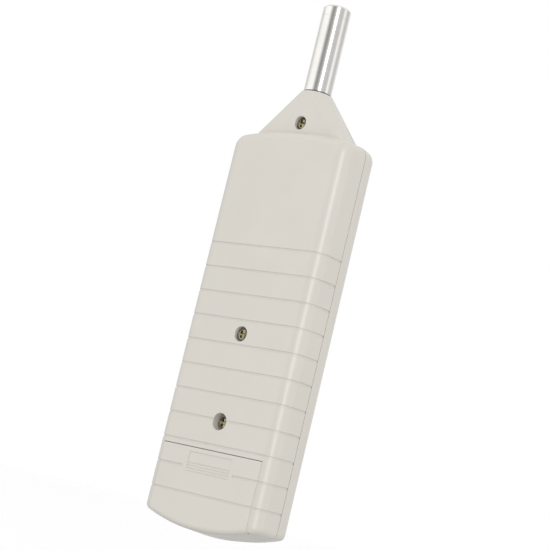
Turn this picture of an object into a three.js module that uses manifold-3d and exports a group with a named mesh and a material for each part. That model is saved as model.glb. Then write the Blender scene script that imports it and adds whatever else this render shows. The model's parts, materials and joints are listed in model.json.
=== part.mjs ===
// Hand-held sound level meter: a two-part moulded case with a tapered neck that carries a half-inch
// microphone, and inside it the display, switches, circuit board and 9 V battery.
//
// Frame: millimetres, +Z up along the microphone, the back of the case faces +Y and the display -Y.
// The origin is under the middle of the case, at the lowest point of its curved end.

import * as THREE from "three";
import { mergeVertices } from "three/addons/utils/BufferGeometryUtils.js";
import { ConvexGeometry } from "three/addons/geometries/ConvexGeometry.js";
import Module from "manifold-3d";

const wasm = await Module();
wasm.setup();

// ---------------------------------------------------------------------------- driving dimensions

// Case, outside
const CASE_WIDTH = 65; // at the joint of the two shells, as is the height
const CASE_DEPTH = 25;
const CASE_HEIGHT = 179.8; // to the top of the arc, without the neck
const BOTTOM_RADIUS = 92; // arc of the lower end, seen from the back
const TOP_RADIUS = 150;
const BOTTOM_CORNER = 3; // corners seen from the back
const TOP_CORNER = 5.5;
const SIDE_ROUND = 6; // long edges of the back and of the front
const END_ROUND = { bottom: 2.4, top: 4 }; // edges of the two ends
const SIDE_DRAFT = 0.038; // lean of the side walls per millimetre away from the joint
const END_DRAFT = 0.08; // lean of the two ends
const WALL = 2.2;
const PARTING_Y = -2.4; // where the two shells meet
const PARTING_GAP = 0.3;

// Neck
const NECK_HEIGHT = 19.2; // above the top of the case
const NECK_RIM = 0.85; // how far the top of the neck stands out round the microphone
const NECK_HALF_DEPTH = 7;
const NECK_FLARE = 0.85; // sideways growth per millimetre down
const NECK_SINK = 5.8; // how far the neck's root lies below the top of the case
const NECK_EDGE_ROUND = 3.8;
const NECK_WALL = 2;

// Grooves across the back
const GROOVE_COUNT = 11;
const GROOVE_TOP_MARGIN = 54.3; // plain back above the highest groove
const GROOVE_LAST_Z = 15.8; // the lowest one
const GROOVE_WIDTH = 0.7;
const GROOVE_DEPTH = 0.45;

// Microphone
const MIC_RADIUS = 6.35;
const MIC_LENGTH = 41; // from the neck to the tip
const MIC_CAP_HEIGHT = 5;
const MIC_WALL = 1.05;
const SPIGOT_STEP = 1.35; // how much thinner the barrel's foot is than the barrel
const SPIGOT_LENGTH = 9.5;
const GASKET_THICKNESS = 0.6;

// Circuit board
const BOARD_FRONT_Y = -5;
const BOARD_THICKNESS = 1.6;
const BOARD_SIDE_GAP = 3.8; // to the inside of the side walls
const BOARD_END_GAP = { bottom: 2.3, top: 9.6 }; // to the battery bay and to the top wall

// Battery, a 9 V block lying across the case
const BATTERY_LENGTH = 45.5; // without its contacts
const BATTERY_DEPTH = 17.2;
const BATTERY_HEIGHT = 26.4;
const BATTERY_SIDE_GAP = 4.4; // to the side wall at its plain end
const BATTERY_BACK_GAP = 1; // to the door
const BATTERY_END_GAP = 0.7; // to the curved end wall at its lowest corner
const BATTERY_TOP_GAP = 0.9; // to the wall above it
const BAY_WALL_THICKNESS = 2;

// Battery door
const DOOR_SIDE_MARGIN = 5.1; // case wall left on each side of the door
const DOOR_ABOVE_BAY = 0.4; // how far the door runs over the bay's upper wall
const DOOR_END_MARGIN = 0.6; // of the door's foot above the inside of the end wall
const DOOR_GAP = 0.3;
const TONGUE_OUT = 1.1; // how far the door's edges run under the shell
const TONGUE_THICKNESS = 0.7;
const TONGUE_LIFT = 0.05; // of the tongues above the inside of the door
const GRIP_HALF_WIDTH = 11.8;
const GRIP_HEIGHT = 9.2;
const GRIP_TOP_MARGIN = 1.8; // below the door's upper edge
const GRIP_DEPTH = 0.6; // of the thumb scoop at its upper edge
const GRIP_BORDER = 2.2; // plain door left round the scoop where a groove would run into it
const GRIP_GROOVES = { count: 4, pitch: 1.2, width: 0.5, depth: 0.4, above: 0.5 };

// Display and front panel
const GLASS_HALF_WIDTH = 24;
const GLASS_HEIGHT = 29;
const GLASS_THICKNESS = 2.8;
const DISPLAY_BELOW_TOP = 32.8; // centre of the display below the top of the case
const WINDOW_HALF_WIDTH = 21;
const WINDOW_HEIGHT = 22;
const WINDOW_THICKNESS = 1.5;
const LABEL_HALF_WIDTH = 25;
const LABEL_TOP_MARGIN = 13.8; // below the top of the case
const LABEL_BELOW_SWITCHES = 24;
const LABEL_THICKNESS = 0.35;
const LABEL_SINK = 0.5; // depth of the recess that the label lies in

// Slide switches
const SWITCH_BELOW_DISPLAY = 39; // middle of the travel
const SWITCH_SPACING = 17;
const SWITCH_TRAVEL = 6;
const KNOB_WIDTH = 6;
const KNOB_LENGTH = 7;
const STEM_WIDTH = 2.6;
const SWITCH_BODY = { width: 8, height: 17, depth: 4.2 };
const DISH_DEPTH = 1.5; // sunk field round each knob

// Case screws: pan heads in counterbores on the centre line
const SCREW_HEAD_RADIUS = 2.7;
const SCREW_HEAD_HEIGHT = 1.9;
const SCREW_SHANK_RADIUS = 1.35;
const SCREW_HOLE_CLEARANCE = 0.25;
const SCREW_CROSS = { length: 3.2, width: 0.7, depth: 1.1 };
const BOSS_WALL = 1.4;
const POST_RADIUS = 3;
const LOW_SCREW_ABOVE_BAY = 11.25;
const MID_SCREW_BELOW_SWITCHES = 21.4;
const NECK_SCREW_BELOW_TOP = 15.1;

// General clearances
const FIT = 0.2; // between pieces that only rest against each other
const ROUND_SEGMENTS = 28;
const SMALL_SEGMENTS = 16;
const REACH = 60; // longer than any cut has to be
const OUTLINE_STEPS = 4;
const EDGE_STEPS = 5;
const SHARPEST_ROUND = 1; // left inside where a wall is as thick as the edge's rounding

// ---------------------------------------------------------------------------- derived values

const HALF_WIDTH = CASE_WIDTH / 2;
const HALF_DEPTH = CASE_DEPTH / 2;
const INNER_DEPTH = HALF_DEPTH - WALL;
const NECK_TOP = CASE_HEIGHT + NECK_HEIGHT;
const NECK_TOP_RADIUS = MIC_RADIUS + NECK_RIM;
const NECK_ROOT = CASE_HEIGHT - NECK_SINK;
const MIC_TIP_Z = NECK_TOP + MIC_LENGTH;
const SPIGOT_RADIUS = MIC_RADIUS - SPIGOT_STEP;
const GROOVE_FIRST_Z = CASE_HEIGHT - GROOVE_TOP_MARGIN;
const GROOVE_PITCH = (GROOVE_FIRST_Z - GROOVE_LAST_Z) / (GROOVE_COUNT - 1);
const BOARD_BACK_Y = BOARD_FRONT_Y + BOARD_THICKNESS;
const REAR_Y = PARTING_Y + PARTING_GAP / 2;
const FRONT_Y = PARTING_Y - PARTING_GAP / 2;
const GASKET_TOP_Z = NECK_TOP + GASKET_THICKNESS;
const CAP_BOTTOM_Z = MIC_TIP_Z - MIC_CAP_HEIGHT;
const LABEL_FLOOR_Y = -HALF_DEPTH + LABEL_SINK;
const DISH_FLOOR_Y = LABEL_FLOOR_Y + DISH_DEPTH;

/** Height of the inside of the curved lower end at a distance from the middle and a depth. */
const endWallZ = (x, y) =>
  BOTTOM_RADIUS - Math.sqrt((BOTTOM_RADIUS - WALL) ** 2 - x ** 2) + END_DRAFT * Math.abs(y - PARTING_Y);

const BATTERY_BACK_Y = INNER_DEPTH - BATTERY_BACK_GAP;
const BATTERY_LEFT_X = -HALF_WIDTH + WALL + BATTERY_SIDE_GAP + SIDE_DRAFT * HALF_DEPTH;
const BATTERY_RIGHT_X = BATTERY_LEFT_X + BATTERY_LENGTH;
const BATTERY_BOTTOM_Z = endWallZ(BATTERY_LEFT_X, BATTERY_BACK_Y) + BATTERY_END_GAP;
const BATTERY_MID_Z = BATTERY_BOTTOM_Z + BATTERY_HEIGHT / 2;
const BAY_WALL_Z = BATTERY_BOTTOM_Z + BATTERY_HEIGHT + BATTERY_TOP_GAP;
const DOOR_TOP_Z = BAY_WALL_Z + DOOR_ABOVE_BAY;
const DOOR_HALF_WIDTH = HALF_WIDTH - DOOR_SIDE_MARGIN;
const DOOR_FOOT_Z = endWallZ(DOOR_HALF_WIDTH, HALF_DEPTH) + DOOR_END_MARGIN;
const TONGUE_Y = INNER_DEPTH + TONGUE_LIFT;
const GRIP_TOP_Z = DOOR_TOP_Z - GRIP_TOP_MARGIN;
const GRIP_BOTTOM_Z = GRIP_TOP_Z - GRIP_HEIGHT;

const BOARD_HALF_WIDTH = HALF_WIDTH - WALL - BOARD_SIDE_GAP;
const BOARD_BOTTOM_Z = BAY_WALL_Z + BAY_WALL_THICKNESS + BOARD_END_GAP.bottom;
const BOARD_TOP_Z = CASE_HEIGHT - WALL - BOARD_END_GAP.top;

const DISPLAY_Z = CASE_HEIGHT - DISPLAY_BELOW_TOP;
const SWITCH_Z = DISPLAY_Z - SWITCH_BELOW_DISPLAY;
const LABEL_TOP_Z = CASE_HEIGHT - LABEL_TOP_MARGIN;
const LABEL_BOTTOM_Z = SWITCH_Z - LABEL_BELOW_SWITCHES;

const CASE_SCREWS = [
  {
    name: "screw_low",
    z: BAY_WALL_Z + BAY_WALL_THICKNESS + LOW_SCREW_ABOVE_BAY,
    surfaceY: HALF_DEPTH,
    headDeep: 2.3,
    boreRadius: 3.7,
  },
  {
    name: "screw_mid",
    z: SWITCH_Z - MID_SCREW_BELOW_SWITCHES,
    surfaceY: HALF_DEPTH,
    headDeep: 0.6,
    boreRadius: 3.3,
  },
  {
    name: "screw_neck",
    z: NECK_TOP - NECK_SCREW_BELOW_TOP,
    surfaceY: NECK_HALF_DEPTH,
    headDeep: 0.9,
    boreRadius: 3.0,
  },
];

const halfNeckWidth = (z) => NECK_TOP_RADIUS + (NECK_TOP - z) * NECK_FLARE;

// ---------------------------------------------------------------------------- solids and meshes

/** Turns a closed three.js geometry into a solid that can be cut and joined. */
function solid(geometry) {
  const bare = geometry.index ? geometry.toNonIndexed() : geometry.clone();
  bare.deleteAttribute("normal");
  bare.deleteAttribute("uv");
  const merged = mergeVertices(bare, 1e-4);
  return new wasm.Manifold(
    new wasm.Mesh({
      numProp: 3,
      vertProperties: new Float32Array(merged.attributes.position.array),
      triVerts: new Uint32Array(merged.index.array),
    }),
  );
}

const joined = (first, ...rest) => rest.reduce((sum, next) => sum.add(next), first);
const cut = (body, ...tools) => tools.reduce((left, tool) => left.subtract(tool), body);

/** A block between two corners. */
function block([x0, x1], [y0, y1], [z0, z1]) {
  const box = new THREE.BoxGeometry(x1 - x0, y1 - y0, z1 - z0);
  return solid(box.translate((x0 + x1) / 2, (y0 + y1) / 2, (z0 + z1) / 2));
}

/** A cylinder or cone along one axis, from `from` to `to`; `centre` gives the other two places. */
function rod(axis, centre, radius, from, to, segments = SMALL_SEGMENTS, endRadius = radius) {
  const shape = new THREE.CylinderGeometry(endRadius, radius, to - from, segments);
  const middle = (from + to) / 2;
  if (axis === "x") return solid(shape.rotateZ(-Math.PI / 2).translate(middle, ...centre));
  if (axis === "y") return solid(shape.translate(centre[0], middle, centre[1]));
  return solid(shape.rotateX(Math.PI / 2).translate(...centre, middle));
}

/** A turned piece about the Z axis from a closed profile of [radius, z] points. */
function turned(profile, segments = ROUND_SEGMENTS) {
  const points = [...profile, profile[0]].map(([r, z]) => new THREE.Vector2(r, z));
  const lathe = new THREE.LatheGeometry(points, segments);
  return solid(lathe.rotateX(Math.PI / 2));
}

/** An outline drawn in Y and Z, drawn out along X. */
function barAlongX(outline, [x0, x1]) {
  const options = { depth: x1 - x0, bevelEnabled: false, curveSegments: 4 };
  const turn = new THREE.Matrix4().makeBasis(
    new THREE.Vector3(0, 1, 0),
    new THREE.Vector3(0, 0, 1),
    new THREE.Vector3(1, 0, 0),
  );
  return solid(new THREE.ExtrudeGeometry(outline, options).applyMatrix4(turn).translate(x0, 0, 0));
}

/** A solid through rings of points, listed from the lowest Y to the highest and closed at both ends. */
function lofted(rings) {
  const count = rings[0].length;
  const last = (rings.length - 1) * count;
  const index = [];
  for (let ring = 0; ring < last; ring += count) {
    for (let i = 0; i < count; i += 1) {
      const here = ring + i;
      const next = ring + ((i + 1) % count);
      index.push(here, next + count, next, here, here + count, next + count);
    }
  }
  for (let i = 1; i + 1 < count; i += 1) index.push(0, i, i + 1, last, last + i + 1, last + i);
  return solid(new THREE.BufferGeometry().setFromPoints(rings.flat()).setIndex(index));
}

const model = new THREE.Group();

/** Adds one sub-part to the model under its own name and finish. */
function part(name, shape, finish) {
  const { numProp, vertProperties, triVerts } = shape.getMesh();
  if (numProp !== 3) throw new Error(`${name} carries more than positions`);
  const geometry = new THREE.BufferGeometry();
  geometry.setAttribute("position", new THREE.BufferAttribute(vertProperties, 3));
  geometry.setIndex(new THREE.BufferAttribute(triVerts, 1));
  geometry.computeVertexNormals();
  const mesh = new THREE.Mesh(geometry, new THREE.MeshStandardMaterial(finish));
  mesh.name = name;
  model.add(mesh);
}

// ---------------------------------------------------------------------------- finishes

const CASE_ABS = { color: 0xd9d5ce, roughness: 0.55, metalness: 0 };
const POLISHED_METAL = { color: 0xd6d7d8, roughness: 0.15, metalness: 1 };
const SCREW_STEEL = { color: 0x9a9a98, roughness: 0.35, metalness: 1 };
const BLACK_RUBBER = { color: 0x1c1c1c, roughness: 0.8, metalness: 0 };
const BLACK_PLASTIC = { color: 0x242424, roughness: 0.5, metalness: 0 };
const BOARD_GREEN = { color: 0x1f5a36, roughness: 0.5, metalness: 0 };
const CLEAR_PLASTIC = { color: 0xdfe6e2, roughness: 0.1, metalness: 0, transparent: true, opacity: 0.35 };
const DISPLAY_GREY = { color: 0x9aa58f, roughness: 0.2, metalness: 0 };
const LABEL_GREY = { color: 0x5d6469, roughness: 0.45, metalness: 0 };
const TIN_PLATE = { color: 0xb5b7b8, roughness: 0.35, metalness: 1 };
const BRASS = { color: 0xb8964a, roughness: 0.3, metalness: 1 };
const FOAM_GREY = { color: 0x4a4a4a, roughness: 0.95, metalness: 0 };
const RED_WIRE = { color: 0xa82020, roughness: 0.5, metalness: 0 };
const BATTERY_BLUE = { color: 0x27406b, roughness: 0.35, metalness: 0.2 };

// ---------------------------------------------------------------------------- case

const innerRound = (round, inset) => Math.max(round - inset, SHARPEST_ROUND);

/** How far a rounded edge has drawn in at a distance from the face that it runs into. */
function drawnIn(round, fromFace) {
  return fromFace >= round ? 0 : round - Math.sqrt(round ** 2 - (round - fromFace) ** 2);
}

/** Half of one end's outline: from the middle of its arc, round the corner, to the side wall. */
function endProfile(half, radius, corner) {
  const sweep = Math.asin((half - corner) / (radius - corner));
  const cornerRise = radius - (radius - corner) * Math.cos(sweep);
  const down = -Math.PI / 2;
  const arc = new THREE.ArcCurve(0, radius, radius, down, down + sweep, false);
  const bend = new THREE.ArcCurve(half - corner, cornerRise, corner, down + sweep, 0, false);
  return [...arc.getPoints(OUTLINE_STEPS), ...bend.getPoints(OUTLINE_STEPS).slice(1)];
}

/** The case's outline at one depth, seen from the front, moved inwards by `inset`. */
function caseRing(y, inset) {
  const fromJoint = Math.abs(y - PARTING_Y);
  const fromFace = HALF_DEPTH - inset - Math.abs(y);
  const sideIn = drawnIn(innerRound(SIDE_ROUND, inset), fromFace) + SIDE_DRAFT * fromJoint;
  const [lowIn, highIn] = [END_ROUND.bottom, END_ROUND.top].map(
    (round) => drawnIn(innerRound(round, inset), fromFace) + END_DRAFT * fromJoint + inset,
  );
  const half = HALF_WIDTH - inset - sideIn;
  const low = endProfile(half, BOTTOM_RADIUS - inset, innerRound(BOTTOM_CORNER, inset));
  const high = endProfile(half, TOP_RADIUS - inset, innerRound(TOP_CORNER, inset)).reverse();
  const right = [
    ...low.map((point) => [point.x, lowIn + point.y]),
    ...high.map((point) => [point.x, CASE_HEIGHT - highIn - point.y]),
  ];
  const left = right.slice(1, -1).reverse();
  return [...right, ...left.map(([x, z]) => [-x, z])].map(([x, z]) => new THREE.Vector3(x, y, z));
}

/** The rounded block of the case, without its neck, moved inwards by `inset`. */
function caseBlock(inset) {
  const face = HALF_DEPTH - inset;
  const round = innerRound(SIDE_ROUND, inset);
  const fromFace = Array.from({ length: EDGE_STEPS + 1 }, (_, step) =>
    round * (1 - Math.cos((step / EDGE_STEPS) * (Math.PI / 2))),
  );
  const front = fromFace.map((distance) => -face + distance);
  const back = fromFace.map((distance) => face - distance).reverse();
  return lofted([...front, PARTING_Y, ...back].map((y) => caseRing(y, inset)));
}

/** The tapered neck: a rounded rectangle at its root drawn up to a circle. */
function neckBlock(inset, rootZ, topZ, topRadius) {
  const points = [];
  const half = halfNeckWidth(rootZ) - inset;
  const depth = NECK_HALF_DEPTH - inset;
  const round = NECK_EDGE_ROUND - inset / 2;
  const steps = ROUND_SEGMENTS / 4;
  for (let i = 0; i < 4; i += 1) {
    const side = i === 0 || i === 3 ? 1 : -1;
    const face = i < 2 ? 1 : -1;
    for (let j = 0; j <= steps; j += 1) {
      const angle = ((i + j / steps) * Math.PI) / 2;
      const x = side * (half - round) + round * Math.cos(angle);
      const y = face * (depth - round) + round * Math.sin(angle);
      points.push(new THREE.Vector3(x, y, rootZ));
      if (j === steps) continue;
      points.push(new THREE.Vector3(topRadius * Math.cos(angle), topRadius * Math.sin(angle), topZ));
    }
  }
  return solid(new ConvexGeometry(points));
}

const caseOutside = joined(
  caseBlock(0),
  neckBlock(0, NECK_ROOT, NECK_TOP, NECK_TOP_RADIUS),
);
const micBore = rod("z", [0, 0], SPIGOT_RADIUS + FIT, NECK_ROOT, NECK_TOP + 1, ROUND_SEGMENTS);
const caseInside = joined(
  caseBlock(WALL),
  neckBlock(NECK_WALL, NECK_ROOT - 3 * WALL, NECK_TOP - SPIGOT_LENGTH + 1, SPIGOT_RADIUS + FIT),
  micBore,
);
const caseWalls = caseOutside.subtract(caseInside);
const behindParting = block([-REACH, REACH], [REAR_Y, REACH], [-REACH, 2 * CASE_HEIGHT]);
const beforeParting = block([-REACH, REACH], [-REACH, FRONT_Y], [-REACH, 2 * CASE_HEIGHT]);

const grooveFloor = caseBlock(GROOVE_DEPTH);

/** A slot cut across the back and both sides at one groove's height. */
function grooveCutter(index) {
  const z = GROOVE_FIRST_Z - index * GROOVE_PITCH;
  const z0 = z - GROOVE_WIDTH / 2;
  const z1 = z + GROOVE_WIDTH / 2;
  const slab = block([-REACH, REACH], [REAR_Y - 1, REACH], [z0, z1]);
  return slab.subtract(grooveFloor);
}

const grooves = Array.from({ length: GROOVE_COUNT }, (_, index) => grooveCutter(index));

/** Space that the door fills, grown by `gap`: a panel and the end wall below it. */
function doorSpace(gap) {
  const half = DOOR_HALF_WIDTH + gap;
  const panel = block([-half, half], [INNER_DEPTH, REACH], [-REACH, DOOR_TOP_Z + gap]);
  const endWall = block([-half, half], [REAR_Y, REACH], [-REACH, DOOR_FOOT_Z + gap]);
  return joined(panel, endWall);
}

/** The door's two sliding tongues, grown by `gap`. */
function doorTongues(gap) {
  const tall = [-REACH, DOOR_TOP_Z + gap];
  const y = [TONGUE_Y - gap / 2, TONGUE_Y + TONGUE_THICKNESS + gap / 2];
  const outer = DOOR_HALF_WIDTH + TONGUE_OUT + gap;
  const inner = DOOR_HALF_WIDTH - 1;
  return joined(block([-outer, -inner], y, tall), block([inner, outer], y, tall));
}

/** One case screw's boss in the rear shell, before it is bored. */
function rearBoss({ z, surfaceY, boreRadius }) {
  return rod("y", [0, z], boreRadius + BOSS_WALL, REAR_Y + 1.5, surfaceY - 1, ROUND_SEGMENTS);
}

/** What is bored out of the rear shell for one case screw. */
function rearBore({ z, surfaceY, headDeep, boreRadius }) {
  const seatY = surfaceY - headDeep - SCREW_HEAD_HEIGHT - FIT;
  const hole = rod("y", [0, z], SCREW_SHANK_RADIUS + SCREW_HOLE_CLEARANCE, -REACH, REACH);
  return joined(hole, rod("y", [0, z], boreRadius, seatY, REACH, ROUND_SEGMENTS));
}

const JACK_Z = SWITCH_Z - 8;
const TRIMMER_Z = SWITCH_Z + 14;
const JACK_Y = BOARD_BACK_Y + 4.3;
const TRIMMER_Y = BOARD_BACK_Y + 3;
const JACK_RADIUS = 2.8;
const TRIMMER_HOLE_RADIUS = 2.2;
const LEAD_NOTCH = { x: [HALF_WIDTH - 8, HALF_WIDTH - 3], depth: 4 };
const LEAD_SPREAD = 0.9;

function rearShell() {
  const bayWall = block(
    [-HALF_WIDTH, HALF_WIDTH],
    [REAR_Y, INNER_DEPTH + 0.5],
    [BAY_WALL_Z, BAY_WALL_Z + BAY_WALL_THICKNESS],
  ).intersect(caseBlock(WALL / 2));
  const leadNotch = block(
    LEAD_NOTCH.x,
    [REAR_Y - 1, REAR_Y + LEAD_NOTCH.depth],
    [BAY_WALL_Z - 1, BAY_WALL_Z + BAY_WALL_THICKNESS + 1],
  );
  const bosses = CASE_SCREWS.map((screw) => rearBoss(screw).intersect(caseOutside));
  const shell = joined(caseWalls.intersect(behindParting), bayWall, ...bosses);
  return cut(
    shell,
    ...CASE_SCREWS.map(rearBore),
    ...grooves,
    doorSpace(DOOR_GAP),
    doorTongues(FIT),
    leadNotch,
    rod("x", [JACK_Y, JACK_Z], JACK_RADIUS, HALF_WIDTH - 2 * WALL, REACH, ROUND_SEGMENTS),
    rod("x", [TRIMMER_Y, TRIMMER_Z], TRIMMER_HOLE_RADIUS, HALF_WIDTH - 2 * WALL, REACH),
  );
}

function batteryDoor() {
  const skin = caseWalls.intersect(behindParting).intersect(doorSpace(0));
  const tongues = doorTongues(0).intersect(
    block([-REACH, REACH], [0, REACH], [DOOR_FOOT_Z, DOOR_TOP_Z - 1]),
  );
  const beyondGrip = GRIP_HALF_WIDTH + GRIP_BORDER;
  const gripField = block(
    [-beyondGrip, beyondGrip],
    [0, REACH],
    [GRIP_BOTTOM_Z, GRIP_TOP_Z],
  );
  const groovesBesideGrip = grooves.map((groove) => groove.subtract(gripField));
  return cut(joined(skin, tongues), ...groovesBesideGrip, thumbScoop(), ...gripGrooves());
}

/** A shallow scoop in the door, deepest at its upper edge. */
function thumbScoop() {
  const outline = new THREE.Shape([
    new THREE.Vector2(HALF_DEPTH, GRIP_BOTTOM_Z),
    new THREE.Vector2(HALF_DEPTH + 1, GRIP_BOTTOM_Z),
    new THREE.Vector2(HALF_DEPTH + 1, GRIP_TOP_Z),
    new THREE.Vector2(HALF_DEPTH - GRIP_DEPTH, GRIP_TOP_Z),
  ]);
  return barAlongX(outline, [-GRIP_HALF_WIDTH, GRIP_HALF_WIDTH]);
}

/** Fine grooves across the lower part of the scoop. */
function gripGrooves() {
  const { count, pitch, width, depth, above } = GRIP_GROOVES;
  return Array.from({ length: count }, (_, i) => {
    const z = GRIP_BOTTOM_Z + above + i * pitch;
    const scoopIn = (GRIP_DEPTH * (z - GRIP_BOTTOM_Z)) / GRIP_HEIGHT;
    return block(
      [-GRIP_HALF_WIDTH, GRIP_HALF_WIDTH],
      [HALF_DEPTH - scoopIn - depth, REACH],
      [z, z + width],
    );
  });
}

// ---------------------------------------------------------------------------- front shell

const switchPlaces = [-1, 0, 1].map((side) => side * SWITCH_SPACING);
const BOARD_SCREW_INSET = { x: 4.5, z: 5.5 };
const BOARD_SCREWS = [BOARD_BOTTOM_Z + BOARD_SCREW_INSET.z, DISPLAY_Z - 18.7].flatMap((z) =>
  [-1, 1].map((side) => ({ x: side * (BOARD_HALF_WIDTH - BOARD_SCREW_INSET.x), z })),
);
const BOARD_POST_RADIUS = 2.6;
const BOARD_SCREW_RADIUS = 0.9;
const BOARD_SCREW_HEAD = { radius: 2, height: 1.3 };

function frontShell() {
  const bayWall = block(
    [-HALF_WIDTH, HALF_WIDTH],
    [-INNER_DEPTH - 0.5, FRONT_Y],
    [BAY_WALL_Z, BAY_WALL_Z + BAY_WALL_THICKNESS],
  ).intersect(caseBlock(WALL / 2));
  const boardPosts = BOARD_SCREWS.map(({ x, z }) =>
    rod("y", [x, z], BOARD_POST_RADIUS, -HALF_DEPTH + 1, BOARD_FRONT_Y - FIT / 2),
  );
  const casePosts = CASE_SCREWS.map(({ z, surfaceY }) =>
    rod("y", [0, z], POST_RADIUS, -surfaceY + 1, REAR_Y + 1.2),
  );
  const pilots = CASE_SCREWS.map(({ z, surfaceY }) =>
    rod("y", [0, z], SCREW_SHANK_RADIUS + 0.15, -surfaceY + 2, REACH),
  );
  const boardPilots = BOARD_SCREWS.map(({ x, z }) =>
    rod("y", [x, z], BOARD_SCREW_RADIUS + 0.15, -HALF_DEPTH + 2, REACH),
  );
  const labelRecess = block(
    [-LABEL_HALF_WIDTH - FIT, LABEL_HALF_WIDTH + FIT],
    [-REACH, LABEL_FLOOR_Y],
    [LABEL_BOTTOM_Z - FIT, LABEL_TOP_Z + FIT],
  );
  const aperture = block(
    [-WINDOW_HALF_WIDTH, WINDOW_HALF_WIDTH],
    [-REACH, -INNER_DEPTH + 1],
    [DISPLAY_Z - WINDOW_HEIGHT / 2, DISPLAY_Z + WINDOW_HEIGHT / 2],
  );
  const dishes = switchPlaces.map((x) => switchOpening(x, 0, [-REACH, DISH_FLOOR_Y]));
  const slotHalfWidth = STEM_WIDTH / 2 + FIT;
  const slotHalfHeight = (SWITCH_TRAVEL + STEM_WIDTH) / 2 + FIT;
  const slots = switchPlaces.map((x) =>
    block(
      [x - slotHalfWidth, x + slotHalfWidth],
      [-REACH, -INNER_DEPTH + 1],
      [SWITCH_Z - slotHalfHeight, SWITCH_Z + slotHalfHeight],
    ),
  );
  const shell = joined(caseWalls.intersect(beforeParting), bayWall, ...boardPosts, ...casePosts);
  return cut(shell, ...pilots, ...boardPilots, labelRecess, aperture, ...dishes, ...slots);
}

/** The field that one switch knob travels in, grown by `gap`. */
function switchOpening(x, gap, y) {
  const halfWidth = KNOB_WIDTH / 2 + 1 + gap;
  const halfHeight = (KNOB_LENGTH + SWITCH_TRAVEL) / 2 + 1 + gap;
  return block([x - halfWidth, x + halfWidth], y, [SWITCH_Z - halfHeight, SWITCH_Z + halfHeight]);
}

function labelPlate() {
  const sheet = block(
    [-LABEL_HALF_WIDTH, LABEL_HALF_WIDTH],
    [LABEL_FLOOR_Y - LABEL_THICKNESS, LABEL_FLOOR_Y],
    [LABEL_BOTTOM_Z, LABEL_TOP_Z],
  );
  const aperture = block(
    [-WINDOW_HALF_WIDTH, WINDOW_HALF_WIDTH],
    [-REACH, REACH],
    [DISPLAY_Z - WINDOW_HEIGHT / 2, DISPLAY_Z + WINDOW_HEIGHT / 2],
  );
  return cut(sheet, aperture, ...switchPlaces.map((x) => switchOpening(x, 0, [-REACH, REACH])));
}

// ---------------------------------------------------------------------------- microphone

function micTube() {
  const bore = MIC_RADIUS - MIC_WALL;
  const spigotBore = SPIGOT_RADIUS - MIC_WALL;
  const foot = GASKET_TOP_Z + 0.05;
  return turned([
    [spigotBore, NECK_TOP - SPIGOT_LENGTH],
    [SPIGOT_RADIUS, NECK_TOP - SPIGOT_LENGTH],
    [SPIGOT_RADIUS, foot],
    [MIC_RADIUS, foot],
    [MIC_RADIUS, CAP_BOTTOM_Z],
    [bore, CAP_BOTTOM_Z],
    [bore, foot + 2],
    [spigotBore, foot + 1],
  ]);
}

const CAP_CHAMFER = 0.9;
const CAP_TOP_THICKNESS = 0.8;
const CAP_SLOTS = 3;
const CAP_SLOT_WIDTH = 1;

function micGridCap() {
  const bottom = CAP_BOTTOM_Z + 0.1;
  const inner = MIC_RADIUS - MIC_WALL;
  const shell = solid(
    new THREE.LatheGeometry(
      [
        [0, MIC_TIP_Z - CAP_TOP_THICKNESS],
        [inner, MIC_TIP_Z - CAP_TOP_THICKNESS],
        [inner, bottom],
        [MIC_RADIUS, bottom],
        [MIC_RADIUS, MIC_TIP_Z - CAP_CHAMFER],
        [MIC_RADIUS - CAP_CHAMFER, MIC_TIP_Z],
        [0, MIC_TIP_Z],
      ].map(([r, z]) => new THREE.Vector2(r, z)),
      ROUND_SEGMENTS,
    ).rotateX(Math.PI / 2),
  );
  const reach = inner - 0.8;
  const slots = Array.from({ length: CAP_SLOTS }, (_, i) => {
    const y = (i - (CAP_SLOTS - 1) / 2) * 2.4 * CAP_SLOT_WIDTH;
    const half = Math.sqrt(reach ** 2 - y ** 2);
    const width = [y - CAP_SLOT_WIDTH / 2, y + CAP_SLOT_WIDTH / 2];
    return block([-half, half], width, [MIC_TIP_Z - 2 * CAP_TOP_THICKNESS, MIC_TIP_Z + 1]);
  });
  return cut(shell, ...slots);
}

const CAPSULE = { radius: MIC_RADIUS - MIC_WALL - 2 * FIT, height: 6 };
const BUSH_HEIGHT = 4;
const CAPSULE_TOP_Z = MIC_TIP_Z - CAP_TOP_THICKNESS - 0.6;
const CAPSULE_BOTTOM_Z = CAPSULE_TOP_Z - CAPSULE.height;
const BUSH_BOTTOM_Z = CAPSULE_BOTTOM_Z - BUSH_HEIGHT;
const MIC_BOARD = { width: 8, thickness: 0.8, length: 24, gap: 0.6 };
const MIC_BOARD_TOP_Z = BUSH_BOTTOM_Z - MIC_BOARD.gap;

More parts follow.
